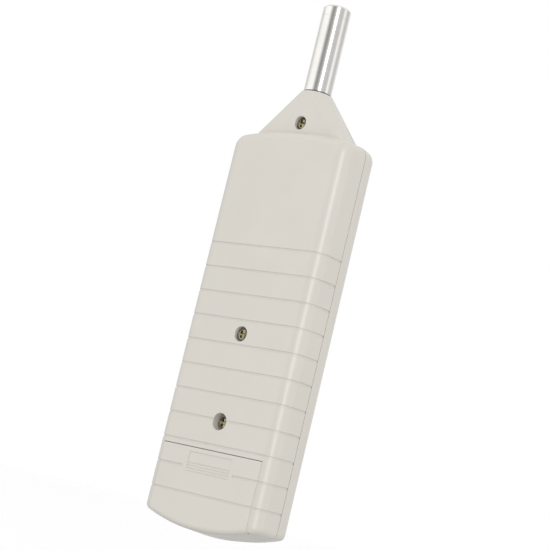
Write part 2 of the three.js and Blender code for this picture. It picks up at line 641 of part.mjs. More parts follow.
function microphone() {
  const gasket = turned([
    [SPIGOT_RADIUS + 0.1, NECK_TOP + 0.05],
    [MIC_RADIUS + 0.1, NECK_TOP + 0.05],
    [MIC_RADIUS + 0.1, GASKET_TOP_Z],
    [SPIGOT_RADIUS + 0.1, GASKET_TOP_Z],
  ]);
  const bush = turned([
    [1.2, BUSH_BOTTOM_Z],
    [MIC_RADIUS - MIC_WALL - 0.1, BUSH_BOTTOM_Z],
    [MIC_RADIUS - MIC_WALL - 0.1, CAPSULE_BOTTOM_Z - 0.1],
    [1.2, CAPSULE_BOTTOM_Z - 0.1],
  ]);
  const half = MIC_BOARD.width / 2;
  const thick = MIC_BOARD.thickness / 2;
  const boardZ = [MIC_BOARD_TOP_Z - MIC_BOARD.length, MIC_BOARD_TOP_Z];
  const board = block([-half, half], [-thick, thick], boardZ);
  part("mic_gasket", gasket, BLACK_RUBBER);
  part("mic_tube", micTube(), POLISHED_METAL);
  part("mic_grid_cap", micGridCap(), POLISHED_METAL);
  const capsule = rod("z", [0, 0], CAPSULE.radius, CAPSULE_BOTTOM_Z, CAPSULE_TOP_Z, ROUND_SEGMENTS);
  part("mic_capsule", capsule, TIN_PLATE);
  part("mic_bush", bush, BLACK_PLASTIC);
  part("preamp_board", board, BOARD_GREEN);
}

// ---------------------------------------------------------------------------- wires

/** A wire along a smooth curve through the given points. */
function wire(radius, points, steps) {
  const section = new THREE.Shape().absarc(0, 0, radius, 0, 2 * Math.PI, false);
  const route = new THREE.CatmullRomCurve3(points.map((point) => new THREE.Vector3(...point)));
  const options = { extrudePath: route, steps, curveSegments: 4, bevelEnabled: false };
  return solid(new THREE.ExtrudeGeometry(section, options));
}

const MIC_WIRE_RADIUS = 0.45;
const BATTERY_WIRE_RADIUS = 0.7;
const BOARD_WIRE_Y = BOARD_BACK_Y + 1.2;

function wires() {
  const start = MIC_BOARD_TOP_Z - MIC_BOARD.length - 0.3;
  for (const [name, side, finish] of [
    ["mic_lead_signal", 1, RED_WIRE],
    ["mic_lead_ground", -1, BLACK_PLASTIC],
  ]) {
    const route = [
      [side * 1.4, 0, start],
      [side * 1.6, 0, start - 5],
      [side * 2.4, 0.4, NECK_TOP - SPIGOT_LENGTH + 1.5],
      [side * (SPIGOT_RADIUS - 2.2), 0.6, NECK_TOP - SPIGOT_LENGTH - 0.3],
      [side * 5.2, 1.1, NECK_TOP - SPIGOT_LENGTH - 1.9],
      [side * 8.4, 1.2, NECK_TOP - SPIGOT_LENGTH - 5.5],
      [side * 10, 0.5, NECK_ROOT + 1],
      [side * 9, BOARD_WIRE_Y, BOARD_TOP_Z - 1],
      [side * 9, BOARD_WIRE_Y, BOARD_TOP_Z - 6],
    ];
    part(name, wire(MIC_WIRE_RADIUS, route, 24), finish);
  }
  const snapX = BATTERY_RIGHT_X + SNAP.gap + SNAP.thickness;
  for (const [name, side, finish] of [
    ["battery_lead_red", 1, RED_WIRE],
    ["battery_lead_black", -1, BLACK_PLASTIC],
  ]) {
    const notchX = (LEAD_NOTCH.x[0] + LEAD_NOTCH.x[1]) / 2 + side * LEAD_SPREAD;
    const route = [
      [snapX + BATTERY_WIRE_RADIUS + FIT, side * 2, BATTERY_MID_Z],
      [snapX + 2.2, side * 1.6, BATTERY_MID_Z + 5],
      [notchX, -0.4 + side * 0.8, BAY_WALL_Z - 4],
      [notchX, -0.4 + side * 0.8, BAY_WALL_Z + 2],
      [notchX - 1, 1, BOARD_BOTTOM_Z + 4],
      [notchX - 8, BOARD_WIRE_Y, BOARD_BOTTOM_Z + 12],
      [notchX - 10, BOARD_WIRE_Y, BOARD_BOTTOM_Z + 17],
    ];
    part(name, wire(BATTERY_WIRE_RADIUS, route, 20), finish);
  }
}

// ---------------------------------------------------------------------------- electronics

const SHIELD = { x: [-12, 12], z: [BOARD_TOP_Z - 28, BOARD_TOP_Z - 10], height: 5, wall: 0.4 };
const CHIPS = [
  { name: "controller_chip", x: 0, z: DISPLAY_Z - 19, width: 14, height: 14, thickness: 2.2 },
  { name: "converter_chip", x: -13, z: SWITCH_Z - 4, width: 7.6, height: 18, thickness: 3 },
  { name: "amp_chip_upper", x: 8, z: SWITCH_Z, width: 4, height: 9, thickness: 1.6 },
  { name: "amp_chip_lower", x: 8, z: SWITCH_Z - 12, width: 4, height: 9, thickness: 1.6 },
];
const CAPACITORS = [
  { x: -16, z: BOARD_BOTTOM_Z + 33, radius: 3.15, height: 9 },
  { x: -8, z: BOARD_BOTTOM_Z + 29, radius: 2.5, height: 7.5 },
  { x: 16, z: BOARD_BOTTOM_Z + 31, radius: 4, height: 10 },
];
const CRYSTAL = { radius: 1.5, x: [-18, -9], z: DISPLAY_Z - 12.5 };
const SOLDER_GAP = 0.1; // under every component on the board

function mainBoard() {
  const board = block(
    [-BOARD_HALF_WIDTH, BOARD_HALF_WIDTH],
    [BOARD_FRONT_Y, BOARD_BACK_Y],
    [BOARD_BOTTOM_Z, BOARD_TOP_Z],
  );
  const postHoles = CASE_SCREWS.filter(({ z }) => z < BOARD_TOP_Z).map(({ z }) =>
    rod("y", [0, z], POST_RADIUS + FIT, -REACH, REACH),
  );
  const screwHoles = BOARD_SCREWS.map(({ x, z }) =>
    rod("y", [x, z], BOARD_SCREW_RADIUS + FIT, -REACH, REACH),
  );
  return cut(board, ...postHoles, ...screwHoles);
}

function shieldCan() {
  const y0 = BOARD_BACK_Y + SOLDER_GAP;
  const outside = block(SHIELD.x, [y0, y0 + SHIELD.height], SHIELD.z);
  const inside = block(
    [SHIELD.x[0] + SHIELD.wall, SHIELD.x[1] - SHIELD.wall],
    [y0 - 1, y0 + SHIELD.height - SHIELD.wall],
    [SHIELD.z[0] + SHIELD.wall, SHIELD.z[1] - SHIELD.wall],
  );
  return outside.subtract(inside);
}

function electronics() {
  const y0 = BOARD_BACK_Y + SOLDER_GAP;
  part("main_board", mainBoard(), BOARD_GREEN);
  part("shield_can", shieldCan(), TIN_PLATE);
  for (const { name, x, z, width, height, thickness } of CHIPS) {
    const body = block(
      [x - width / 2, x + width / 2],
      [y0, y0 + thickness],
      [z - height / 2, z + height / 2],
    );
    part(name, body, BLACK_PLASTIC);
  }
  CAPACITORS.forEach(({ x, z, radius, height }, index) => {
    part(`capacitor_${index + 1}`, rod("y", [x, z], radius, y0, y0 + height), BLACK_PLASTIC);
  });
  const crystalY = y0 + CRYSTAL.radius;
  part("crystal_can", rod("x", [crystalY, CRYSTAL.z], CRYSTAL.radius, ...CRYSTAL.x, 12), TIN_PLATE);
  BOARD_SCREWS.forEach(({ x, z }, index) => {
    const head = rod("y", [x, z], BOARD_SCREW_HEAD.radius, y0, y0 + BOARD_SCREW_HEAD.height);
    const shank = rod("y", [x, z], BOARD_SCREW_RADIUS, -HALF_DEPTH + 3, y0 + 0.5, 12);
    part(`board_screw_${index + 1}`, joined(head, shank), SCREW_STEEL);
  });
}

const JACK_BODY = { length: 12, halfHeight: 4, depth: 6.6, bore: 1.8 };
const TRIMMER_BODY = { length: 6, halfHeight: 3.4, depth: 5.4 };
const ROTOR = { radius: 1.6, length: 1.6, slot: 0.5 };

/** Where a side component's outer face sits, just inside the side wall. */
const sideFaceX = HALF_WIDTH - WALL - SIDE_DRAFT * (HALF_DEPTH - SIDE_ROUND) - 0.5;

function sideComponents() {
  const y0 = BOARD_BACK_Y + SOLDER_GAP;
  const jack = block(
    [sideFaceX - JACK_BODY.length, sideFaceX],
    [y0, y0 + JACK_BODY.depth],
    [JACK_Z - JACK_BODY.halfHeight, JACK_Z + JACK_BODY.halfHeight],
  );
  const jackBore = rod("x", [JACK_Y, JACK_Z], JACK_BODY.bore, sideFaceX - JACK_BODY.length + 1, REACH);
  part("output_jack", jack.subtract(jackBore), BLACK_PLASTIC);

  const trimmerFace = sideFaceX - ROTOR.length;
  const trimmer = block(
    [trimmerFace - TRIMMER_BODY.length, trimmerFace],
    [y0, y0 + TRIMMER_BODY.depth],
    [TRIMMER_Z - TRIMMER_BODY.halfHeight, TRIMMER_Z + TRIMMER_BODY.halfHeight],
  );
  const seat = rod("x", [TRIMMER_Y, TRIMMER_Z], ROTOR.radius + FIT, trimmerFace - 1, REACH);
  part("cal_trimmer", trimmer.subtract(seat), BATTERY_BLUE);

  const rotor = rod("x", [TRIMMER_Y, TRIMMER_Z], ROTOR.radius, trimmerFace - 1 + FIT, sideFaceX);
  const slot = block(
    [sideFaceX - 0.8, REACH],
    [TRIMMER_Y - ROTOR.slot / 2, TRIMMER_Y + ROTOR.slot / 2],
    [TRIMMER_Z - REACH, TRIMMER_Z + REACH],
  );
  part("cal_rotor", rotor.subtract(slot), BRASS);
}

// ---------------------------------------------------------------------------- display

const HOLDER_WALL = 1;
const ZEBRA_HEIGHT = 2;

function display() {
  const glassFront = -INNER_DEPTH + 0.1;
  const glassBack = glassFront + GLASS_THICKNESS;
  const [z0, z1] = [DISPLAY_Z - GLASS_HEIGHT / 2, DISPLAY_Z + GLASS_HEIGHT / 2];
  const half = GLASS_HALF_WIDTH;
  const boardSide = BOARD_FRONT_Y - SOLDER_GAP;
  part("lcd_glass", block([-half, half], [glassFront, glassBack], [z0, z1]), DISPLAY_GREY);

  const holder = block(
    [-half - HOLDER_WALL, half + HOLDER_WALL],
    [glassFront, boardSide],
    [z0 - HOLDER_WALL, z1 + HOLDER_WALL],
  );
  const opening = block([-half - FIT / 2, half + FIT / 2], [-REACH, REACH], [z0 - FIT / 2, z1 + FIT / 2]);
  part("lcd_holder", holder.subtract(opening), BLACK_PLASTIC);

  const zebraY = [glassBack + SOLDER_GAP, boardSide];
  const zebraX = [-half + 1, half - 1];
  part("zebra_upper", block(zebraX, zebraY, [z1 - ZEBRA_HEIGHT - 0.5, z1 - 0.5]), BLACK_RUBBER);
  part("zebra_lower", block(zebraX, zebraY, [z0 + 0.5, z0 + ZEBRA_HEIGHT + 0.5]), BLACK_RUBBER);

  const lens = block(
    [-WINDOW_HALF_WIDTH + FIT, WINDOW_HALF_WIDTH - FIT],
    [LABEL_FLOOR_Y - LABEL_THICKNESS, LABEL_FLOOR_Y - LABEL_THICKNESS + WINDOW_THICKNESS],
    [DISPLAY_Z - WINDOW_HEIGHT / 2 + FIT, DISPLAY_Z + WINDOW_HEIGHT / 2 - FIT],
  );
  part("lcd_window", lens, CLEAR_PLASTIC);
  part("label_plate", labelPlate(), LABEL_GREY);
}

// ---------------------------------------------------------------------------- switches

const SWITCHES = ["range", "response", "weighting"];
const KNOB_RIBS = 4;

/** A ribbed knob in the sunk field, with a stem through the slot into the switch. */
function knob(x) {
  const z = SWITCH_Z - SWITCH_TRAVEL / 2; // every switch rests at the lower end of its travel
  const topY = -HALF_DEPTH + 0.1;
  const floorY = DISH_FLOOR_Y - FIT;
  const cap = block(
    [x - KNOB_WIDTH / 2, x + KNOB_WIDTH / 2],
    [topY, floorY],
    [z - KNOB_LENGTH / 2, z + KNOB_LENGTH / 2],
  );
  const half = STEM_WIDTH / 2;
  const stem = block([x - half, x + half], [floorY - 0.5, switchFrontY - FIT], [z - half, z + half]);
  const pitch = KNOB_LENGTH / (2 * KNOB_RIBS + 1);
  const valleys = Array.from({ length: KNOB_RIBS }, (_, i) => {
    const low = z - KNOB_LENGTH / 2 + (2 * i + 1) * pitch;
    return block([x - REACH, x + REACH], [-REACH, topY + 0.5], [low, low + pitch]);
  });
  return cut(joined(cap, stem), ...valleys);
}

const switchFrontY = BOARD_FRONT_Y - SOLDER_GAP - SWITCH_BODY.depth;

function switches() {
  SWITCHES.forEach((name, index) => {
    const x = switchPlaces[index];
    const body = block(
      [x - SWITCH_BODY.width / 2, x + SWITCH_BODY.width / 2],
      [switchFrontY, BOARD_FRONT_Y - SOLDER_GAP],
      [SWITCH_Z - SWITCH_BODY.height / 2, SWITCH_Z + SWITCH_BODY.height / 2],
    );
    part(`${name}_switch`, body, TIN_PLATE);
    part(`${name}_knob`, knob(x), BLACK_PLASTIC);
  });
}

// ---------------------------------------------------------------------------- battery

const POST = { spacing: 12.7, height: 2.6 };
const POST_RADII = { pos: 2.9, neg: 4.1 };
const SNAP = { gap: 2.9, thickness: 2.2, halfDepth: 6.2, halfHeight: 11.5 };
const BATTERY_ROUND = 2;

function battery() {
  const [y0, y1] = [BATTERY_BACK_Y - BATTERY_DEPTH, BATTERY_BACK_Y];
  const [z0, z1] = [BATTERY_BOTTOM_Z, BATTERY_BOTTOM_Z + BATTERY_HEIGHT];
  const r = BATTERY_ROUND;
  const outline = new THREE.Shape()
    .absarc(y1 - r, z0 + r, r, -Math.PI / 2, 0, false)
    .absarc(y1 - r, z1 - r, r, 0, Math.PI / 2, false)
    .absarc(y0 + r, z1 - r, r, Math.PI / 2, Math.PI, false)
    .absarc(y0 + r, z0 + r, r, Math.PI, 1.5 * Math.PI, false);
  part("battery", barAlongX(outline, [BATTERY_LEFT_X, BATTERY_RIGHT_X]), BATTERY_BLUE);

  const midY = (y0 + y1) / 2;
  const postX = BATTERY_RIGHT_X + 0.05;
  for (const [name, side] of [
    ["pos", 1],
    ["neg", -1],
  ]) {
    const z = BATTERY_MID_Z + (side * POST.spacing) / 2;
    const post = rod("x", [midY, z], POST_RADII[name], postX, postX + POST.height);
    part(`battery_post_${name}`, post, TIN_PLATE);
  }
  const snapX = BATTERY_RIGHT_X + SNAP.gap;
  const snap = block(
    [snapX, snapX + SNAP.thickness],
    [midY - SNAP.halfDepth, midY + SNAP.halfDepth],
    [BATTERY_MID_Z - SNAP.halfHeight, BATTERY_MID_Z + SNAP.halfHeight],
  );
  part("battery_snap", snap, BLACK_PLASTIC);
  const foam = block(
    [BATTERY_LEFT_X + 4, BATTERY_RIGHT_X - 4],
    [-INNER_DEPTH + 0.1, y0 - 0.15],
    [z0 + 3, z1 - 3],
  );
  part("battery_foam", foam, FOAM_GREY);
}

// ---------------------------------------------------------------------------- case screws

function caseScrew({ name, z, surfaceY, headDeep }) {
  const topY = surfaceY - headDeep;
  const seatY = topY - SCREW_HEAD_HEIGHT;
  const head = rod("y", [0, z], SCREW_HEAD_RADIUS, seatY, topY, ROUND_SEGMENTS, SCREW_HEAD_RADIUS * 0.86);
  const shank = rod("y", [0, z], SCREW_SHANK_RADIUS, -surfaceY + 2.5, seatY + 0.5);
  const { length, width, depth } = SCREW_CROSS;
  const recessY = [topY - depth, topY + 1];
  const across = block([-length / 2, length / 2], recessY, [z - width / 2, z + width / 2]);
  const upright = block([-width / 2, width / 2], recessY, [z - length / 2, z + length / 2]);
  part(name, cut(joined(head, shank), across, upright), SCREW_STEEL);
}

// ---------------------------------------------------------------------------- assembly

part("rear_shell", rearShell(), CASE_ABS);
part("front_shell", frontShell(), CASE_ABS);
part("battery_door", batteryDoor(), CASE_ABS);
CASE_SCREWS.forEach(caseScrew);
microphone();
display();
switches();
electronics();
sideComponents();
battery();
wires();

export default model;
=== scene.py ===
"""Looks of a hand-held sound level meter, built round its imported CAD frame.

Shapes are drawn in millimetres in the frame's own axes, +Z up along the microphone and +Y out of
the grooved back, and turned to metres when each piece is settled on its body.
"""

import json
import logging
import math
from dataclasses import dataclass, field
from enum import Enum
from typing import ClassVar

import bmesh
import bpy
from mathutils import Matrix, Vector


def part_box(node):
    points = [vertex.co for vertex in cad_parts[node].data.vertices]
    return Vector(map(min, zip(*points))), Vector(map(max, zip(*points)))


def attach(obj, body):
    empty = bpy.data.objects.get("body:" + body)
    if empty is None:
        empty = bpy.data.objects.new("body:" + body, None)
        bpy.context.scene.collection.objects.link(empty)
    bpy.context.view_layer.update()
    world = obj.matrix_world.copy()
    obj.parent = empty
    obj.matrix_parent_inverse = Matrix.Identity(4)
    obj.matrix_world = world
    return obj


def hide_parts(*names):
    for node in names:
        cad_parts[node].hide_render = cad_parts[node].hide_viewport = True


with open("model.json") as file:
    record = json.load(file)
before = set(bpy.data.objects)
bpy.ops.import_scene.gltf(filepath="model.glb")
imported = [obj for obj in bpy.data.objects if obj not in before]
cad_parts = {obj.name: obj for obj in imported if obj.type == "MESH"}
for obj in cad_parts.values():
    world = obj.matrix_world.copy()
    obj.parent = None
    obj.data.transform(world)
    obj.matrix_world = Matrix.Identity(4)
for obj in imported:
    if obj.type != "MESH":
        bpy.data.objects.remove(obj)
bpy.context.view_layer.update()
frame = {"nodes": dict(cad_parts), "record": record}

LOG = logging.getLogger("sound_level_meter")
MM = 0.001
REACH = 60.0  # mm, longer than any cut has to be across the meter
TALL = 300.0  # mm, longer than any cut has to be along it
RAMP_TOP = 2.0  # the brightest level that a ramp of the surroundings holds
CREASE = math.radians(28)  # edges sharper than this stay crisp
ROUND_STEPS = 64
FINE_STEPS = 96
HOLE_STEPS = 40
CORNER_STEPS = 8  # round one corner of a slab
EDGE_STEPS = 4  # round one edge of a slab
LEAST_ROUND = 0.02  # mm, what is left of a corner that an inset uses up
ON_AXIS = 1e-6  # mm, nearer than this a turned point lies on the axis

SEAM_CLOSE = 0.04  # mm, by which the barrel and its tip each close their seam
SWITCH_NAMES = ("range", "response", "weighting")
SWITCH_TRAVEL = 6.0  # mm
FIELD_MARGIN = 1.0  # mm, between a knob and the edge of its sunk field
FIELD_CORNER = 0.8  # mm
WINDOW_CORNER = 1.2  # mm

Piece = bpy.types.Object
Tree = bpy.types.NodeTree
Socket = bpy.types.NodeSocket
Ring = list[Vector]
Span = tuple[float, float]
Colour = tuple[float, float, float, float]


# ------------------------------------------------------------------------------ finishes


def linear(code: str) -> Colour:
    """Turns an sRGB hex colour into linear light.

    Args:
        code: The colour as "#rrggbb".

    Returns:
        Red, green, blue and full opacity, in linear light.
    """
    parts = [int(code[i : i + 2], 16) / 255 for i in (1, 3, 5)]
    straight = [p / 12.92 if p <= 0.04045 else ((p + 0.055) / 1.055) ** 2.4 for p in parts]
    return (straight[0], straight[1], straight[2], 1.0)


def add_node(tree: Tree, kind: str, values: dict | None = None,
             links: dict | None = None, **options: object) -> bpy.types.Node:
    """Adds a node with its settings and its links.

    Args:
        tree: The tree that takes the node.
        kind: Blender's name of the node's type.
        values: Socket name or number to the value set on it.
        links: Socket name or number to the output that feeds it.
        **options: The node's own properties.

    Returns:
        The new node.
    """
    node = tree.nodes.new(kind)
    for name, value in options.items():
        setattr(node, name, value)
    for key, value in (values or {}).items():
        node.inputs[key].default_value = value
    for key, output in (links or {}).items():
        tree.links.new(output, node.inputs[key])
    return node


class Pattern(Enum):
    """What a surface's fine relief looks like."""

    GRAIN = "even grain"
    TURNED = "fine rings round the long axis"
    DRAWN = "lines along the long axis"
    CELLS = "open cells"


@dataclass(frozen=True)
class Finish:
    """One real material; lengths in millimetres, `spread` is how far the roughness wanders."""

    name: str
    colour: str
    shade: str
    roughness: float
    metallic: float = 0.0
    ior: float = 1.5
    pattern: Pattern = Pattern.GRAIN
    grain: float = 0.4
    relief: float = 0.004
    mottle: float = 14.0
    spread: float = 0.05
    coat: float = 0.0
    transmission: float = 0.0

    TINT_SPAN: ClassVar[Span] = (0.2, 0.62)  # where the noise turns from shade to colour
    TINT_LIFT: ClassVar[float] = 0.12
    HEIGHT_SPAN: ClassVar[Span] = (0.25, 0.75)
    SMOOTHEST: ClassVar[float] = 0.02
    COAT_ROUGHNESS: ClassVar[float] = 0.12

    def material(self) -> bpy.types.Material:
        """Makes the material once and returns it."""
        return bpy.data.materials.get(self.name) or self._build()

    def _relief(self, tree: Tree, place: Socket) -> Socket:
        """Adds the fine relief's texture.

        Args:
            tree: The material's tree.
            place: Where on the object, in metres.

        Returns:
            The output that carries the relief's height.
        """
        per_metre = 1 / (self.grain * MM)
        if self.pattern is Pattern.CELLS:
            return add_node(tree, "ShaderNodeTexVoronoi", {"Scale": per_metre},
                            {"Vector": place}).outputs["Distance"]
        stretch = {
            Pattern.GRAIN: (1.0, 1.0, 1.0),
            Pattern.TURNED: (0.02, 0.02, 1.0),
            Pattern.DRAWN: (1.0, 1.0, 0.03),
        }[self.pattern]
        scaled = add_node(tree, "ShaderNodeMapping", {"Scale": stretch}, {"Vector": place})
        noise = add_node(tree, "ShaderNodeTexNoise",
                         {"Scale": per_metre, "Detail": 3.0, "Roughness": 0.55},
                         {"Vector": scaled.outputs["Vector"]})
        return noise.outputs["Fac"]

    def _build(self) -> bpy.types.Material:
        """Builds the node tree and returns the new material."""
        material = bpy.data.materials.new(self.name)
        material.use_nodes = True
        tree = material.node_tree
        tree.nodes.clear()
        place = add_node(tree, "ShaderNodeTexCoord").outputs["Object"]
        height = self._relief(tree, place)
        broad = add_node(tree, "ShaderNodeTexNoise",
                         {"Scale": 1 / (self.mottle * MM), "Detail": 4.0}, {"Vector": place})
        both = add_node(tree, "ShaderNodeMath", {2: self.TINT_LIFT},
                        {0: broad.outputs["Fac"], 1: height}, operation="MULTIPLY_ADD")
        tint = add_node(tree, "ShaderNodeValToRGB", {}, {"Fac": both.outputs[0]})
        low, high = tint.color_ramp.elements
        low.position, high.position = self.TINT_SPAN
        low.color, high.color = linear(self.shade), linear(self.colour)
        rough = add_node(tree, "ShaderNodeMapRange",
                         {"From Min": self.HEIGHT_SPAN[0], "From Max": self.HEIGHT_SPAN[1],
                          "To Min": max(self.roughness - self.spread, self.SMOOTHEST),
                          "To Max": min(self.roughness + self.spread, 1.0)},
                         {"Value": height})
        bump = add_node(tree, "ShaderNodeBump", {"Strength": 1.0, "Distance": self.relief * MM},
                        {"Height": height})
        surface = add_node(tree, "ShaderNodeBsdfPrincipled",
                           {"Metallic": self.metallic, "IOR": self.ior,
                            "Coat Weight": self.coat, "Coat Roughness": self.COAT_ROUGHNESS,
                            "Transmission Weight": self.transmission},
                           {"Base Color": tint.outputs["Color"],
                            "Roughness": rough.outputs["Result"],
                            "Normal": bump.outputs["Normal"]})
        add_node(tree, "ShaderNodeOutputMaterial", {}, {"Surface": surface.outputs["BSDF"]})
        return material


# Spark-eroded mould texture: an even, satin, warm light grey with no streaks.
MOULDED_ABS = Finish("moulded_abs", "#c8c4bc", "#c3bfb7", 0.36, ior=1.53, grain=0.45,
                     relief=0.006, mottle=22.0)
# Polished nickel over brass: a mirror that carries faint rings from the lathe.
POLISHED_NICKEL = Finish("polished_nickel", "#dddbd7", "#d1cfcb", 0.13, metallic=1.0,
                         pattern=Pattern.TURNED, grain=0.25, relief=0.0006, spread=0.03)
# Zinc plate on cold-headed steel, bright and yellowish from its passivation; its dark olive
# second colour, mottled in 2 mm patches, is painted dark reflection on the heads.
ZINC_WITH_PAINTED_REFLECTION = Finish("zinc_steel_painted_reflection", "#b0a88e", "#615a42", 0.12, metallic=1.0, grain=0.35,
                    relief=0.003, mottle=2.0)
# Moulded nitrile rubber: dull black that swallows light.
NITRILE = Finish("nitrile_rubber", "#1d1d1e", "#141415", 0.78, ior=1.52, grain=0.3,
                 relief=0.01, mottle=5.0)
# Glass-filled nylon: near-black with a dry, fine grain.
BLACK_NYLON = Finish("glass_filled_nylon", "#2a2a2b", "#1f1f20", 0.55, ior=1.53, grain=0.3,
                     relief=0.006, mottle=6.0)
# Acetal, moulded: dark grey with a waxy sheen, as finger-worn switch knobs have.
ACETAL = Finish("moulded_acetal", "#35373a", "#2a2c2f", 0.42, ior=1.48, grain=0.35,
                relief=0.005, mottle=4.0)
# Solder resist over glass cloth: a green film in which the weave shows faintly.
SOLDER_RESIST = Finish("solder_resist", "#24623d", "#184a2c", 0.38, ior=1.52, grain=0.6,
                       relief=0.012, mottle=4.0, coat=0.3)
# Reflective liquid-crystal glass: a green-grey with a faint silvery cloud.
CRYSTAL_GLASS = Finish("liquid_crystal_glass", "#a4ae98", "#949e88", 0.16, ior=1.52, grain=0.8,
                       relief=0.001, mottle=9.0, coat=0.5)
# Cast acrylic: clear, with the reflections of a polished face.
ACRYLIC = Finish("clear_acrylic", "#f2f5f3", "#e8edea", 0.05, ior=1.49, grain=3.0,
                 relief=0.0008, mottle=20.0, spread=0.02, transmission=1.0)
# Screen-printed polycarbonate film: dark grey-blue with a velvet surface.
PRINTED_FILM = Finish("printed_polycarbonate", "#596168", "#515960", 0.45, ior=1.58, grain=0.3,
                      relief=0.004, mottle=9.0)
# White screen-printing ink: slightly chalky, lies proud of the film.
WHITE_INK = Finish("white_printing_ink", "#e9ebea", "#d6d9d8", 0.5, grain=0.25,
                   relief=0.004, mottle=3.0)
# Switched liquid crystal: the dark of a segment seen through glass.
DARK_SEGMENT = Finish("liquid_crystal_segment", "#3a4038", "#2f352e", 0.3, ior=1.52, grain=0.3,
                      relief=0.001, mottle=3.0)
# Tinned steel sheet: grey-white, with the drawn lines of the rolling mill.
TIN_PLATE = Finish("tin_plate", "#bfc1c2", "#a6a8a9", 0.32, metallic=1.0,
                   pattern=Pattern.DRAWN, grain=0.3, relief=0.002, mottle=5.0)
# Heat-shrunk PVC: thin, dark and glossy.
SHRINK_SLEEVE = Finish("pvc_shrink_sleeve", "#262b34", "#1b1f27", 0.28, ior=1.53, grain=0.8,
                       relief=0.004, mottle=4.0)
# Blue diallyl phthalate of a trimmer's body: moulded, glossy at its faces.
TRIMMER_BLUE = Finish("blue_moulding_resin", "#2b5799", "#1f4580", 0.35, ior=1.55, grain=0.3,
                      relief=0.004, mottle=3.0)
# Turned brass: warm yellow with fine rings.
TURNED_BRASS = Finish("turned_brass", "#c9a557", "#b08a3f", 0.26, metallic=1.0,
                      pattern=Pattern.TURNED, grain=0.2, relief=0.002, mottle=2.0)
# Lacquered aluminium of the battery's jacket: satin blue over metal.
LACQUERED_CAN = Finish("lacquered_aluminium", "#2f4c80", "#243c68", 0.3, metallic=0.55,
                       pattern=Pattern.DRAWN, grain=0.4, relief=0.002, mottle=12.0)
# Open-cell polyurethane foam: dull dark grey, pitted all over.
OPEN_FOAM = Finish("open_cell_foam", "#525252", "#3a3a3a", 0.95, pattern=Pattern.CELLS,
                   grain=0.7, relief=0.25, mottle=3.0)
# Extruded PVC insulation, red and black: smooth and softly glossy.
RED_PVC = Finish("red_pvc", "#b02525", "#981c1c", 0.4, ior=1.53, grain=0.6, relief=0.004,
                 mottle=5.0)
BLACK_PVC = Finish("black_pvc", "#232323", "#191919", 0.4, ior=1.53, grain=0.6, relief=0.004,
                   mottle=5.0)

SLOT_FINISHES = {
    "case": MOULDED_ABS,
    "mic_metal": POLISHED_NICKEL,
    "screw": ZINC_WITH_PAINTED_REFLECTION,
    "rubber": NITRILE,
    "black_plastic": BLACK_NYLON,
    "knob": ACETAL,
    "board": SOLDER_RESIST,
    "display": CRYSTAL_GLASS,
    "window": ACRYLIC,
    "label": PRINTED_FILM,
    "tin_plate": TIN_PLATE,
    "capacitor_sleeve": SHRINK_SLEEVE,
    "trimmer": TRIMMER_BLUE,
    "brass": TURNED_BRASS,
    "battery_can": LACQUERED_CAN,
    "foam": OPEN_FOAM,
    "red_wire": RED_PVC,
    "black_wire": BLACK_PVC,
}


# ------------------------------------------------------------------------------ solids


class Cut(Enum):
    """How one solid works on another."""

    JOIN = "UNION"
    REMOVE = "DIFFERENCE"
    KEEP = "INTERSECT"


def node_box(node: str) -> tuple[Vector, Vector]:
    """Returns a CAD node's lowest and highest corner in millimetres."""
    low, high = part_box(node)
    return low / MM, high / MM


def from_bmesh(name: str, shape: bmesh.types.BMesh) -> Piece:
    """Turns mesh code into an object of the scene.

    Args:
        name: The object's name.
        shape: The finished mesh code, which is freed.

    Returns:
        The object.
    """
    bmesh.ops.remove_doubles(shape, verts=shape.verts, dist=1e-4)
    bmesh.ops.recalc_face_normals(shape, faces=shape.faces)
    mesh = bpy.data.meshes.new(name)
    shape.to_mesh(mesh)
    shape.free()
    piece = bpy.data.objects.new(name, mesh)
    bpy.context.scene.collection.objects.link(piece)
    return piece


def loft(name: str, rings: list[Ring]) -> Piece:
    """Draws a closed solid through rings of equally many points.

    Args:
        name: The object's name.
        rings: The rings, in order along the solid.

    Returns:
        The solid.
    """
    shape = bmesh.new()
    rows = [[shape.verts.new(point) for point in ring] for ring in rings]
    count = len(rows[0])
    for near, far in zip(rows, rows[1:]):
        for i in range(count):
            j = (i + 1) % count
            shape.faces.new((near[i], near[j], far[j], far[i]))
    shape.faces.new(rows[0])
    shape.faces.new(rows[-1])
    return from_bmesh(name, shape)


def block(name: str, x: Span, y: Span, z: Span) -> Piece:
    """Draws a cutting block between two corners and returns it."""
    corners = [(x[0], y[0]), (x[1], y[0]), (x[1], y[1]), (x[0], y[1])]
    return loft(name, [[Vector((px, py, height)) for px, py in corners] for height in z])


def bar(name: str, outline: list[tuple[float, float]], x: Span) -> Piece:
    """Draws an outline of [y, z] points out along X and returns the solid."""
    return loft(name, [[Vector((px, py, pz)) for py, pz in outline] for px in x])


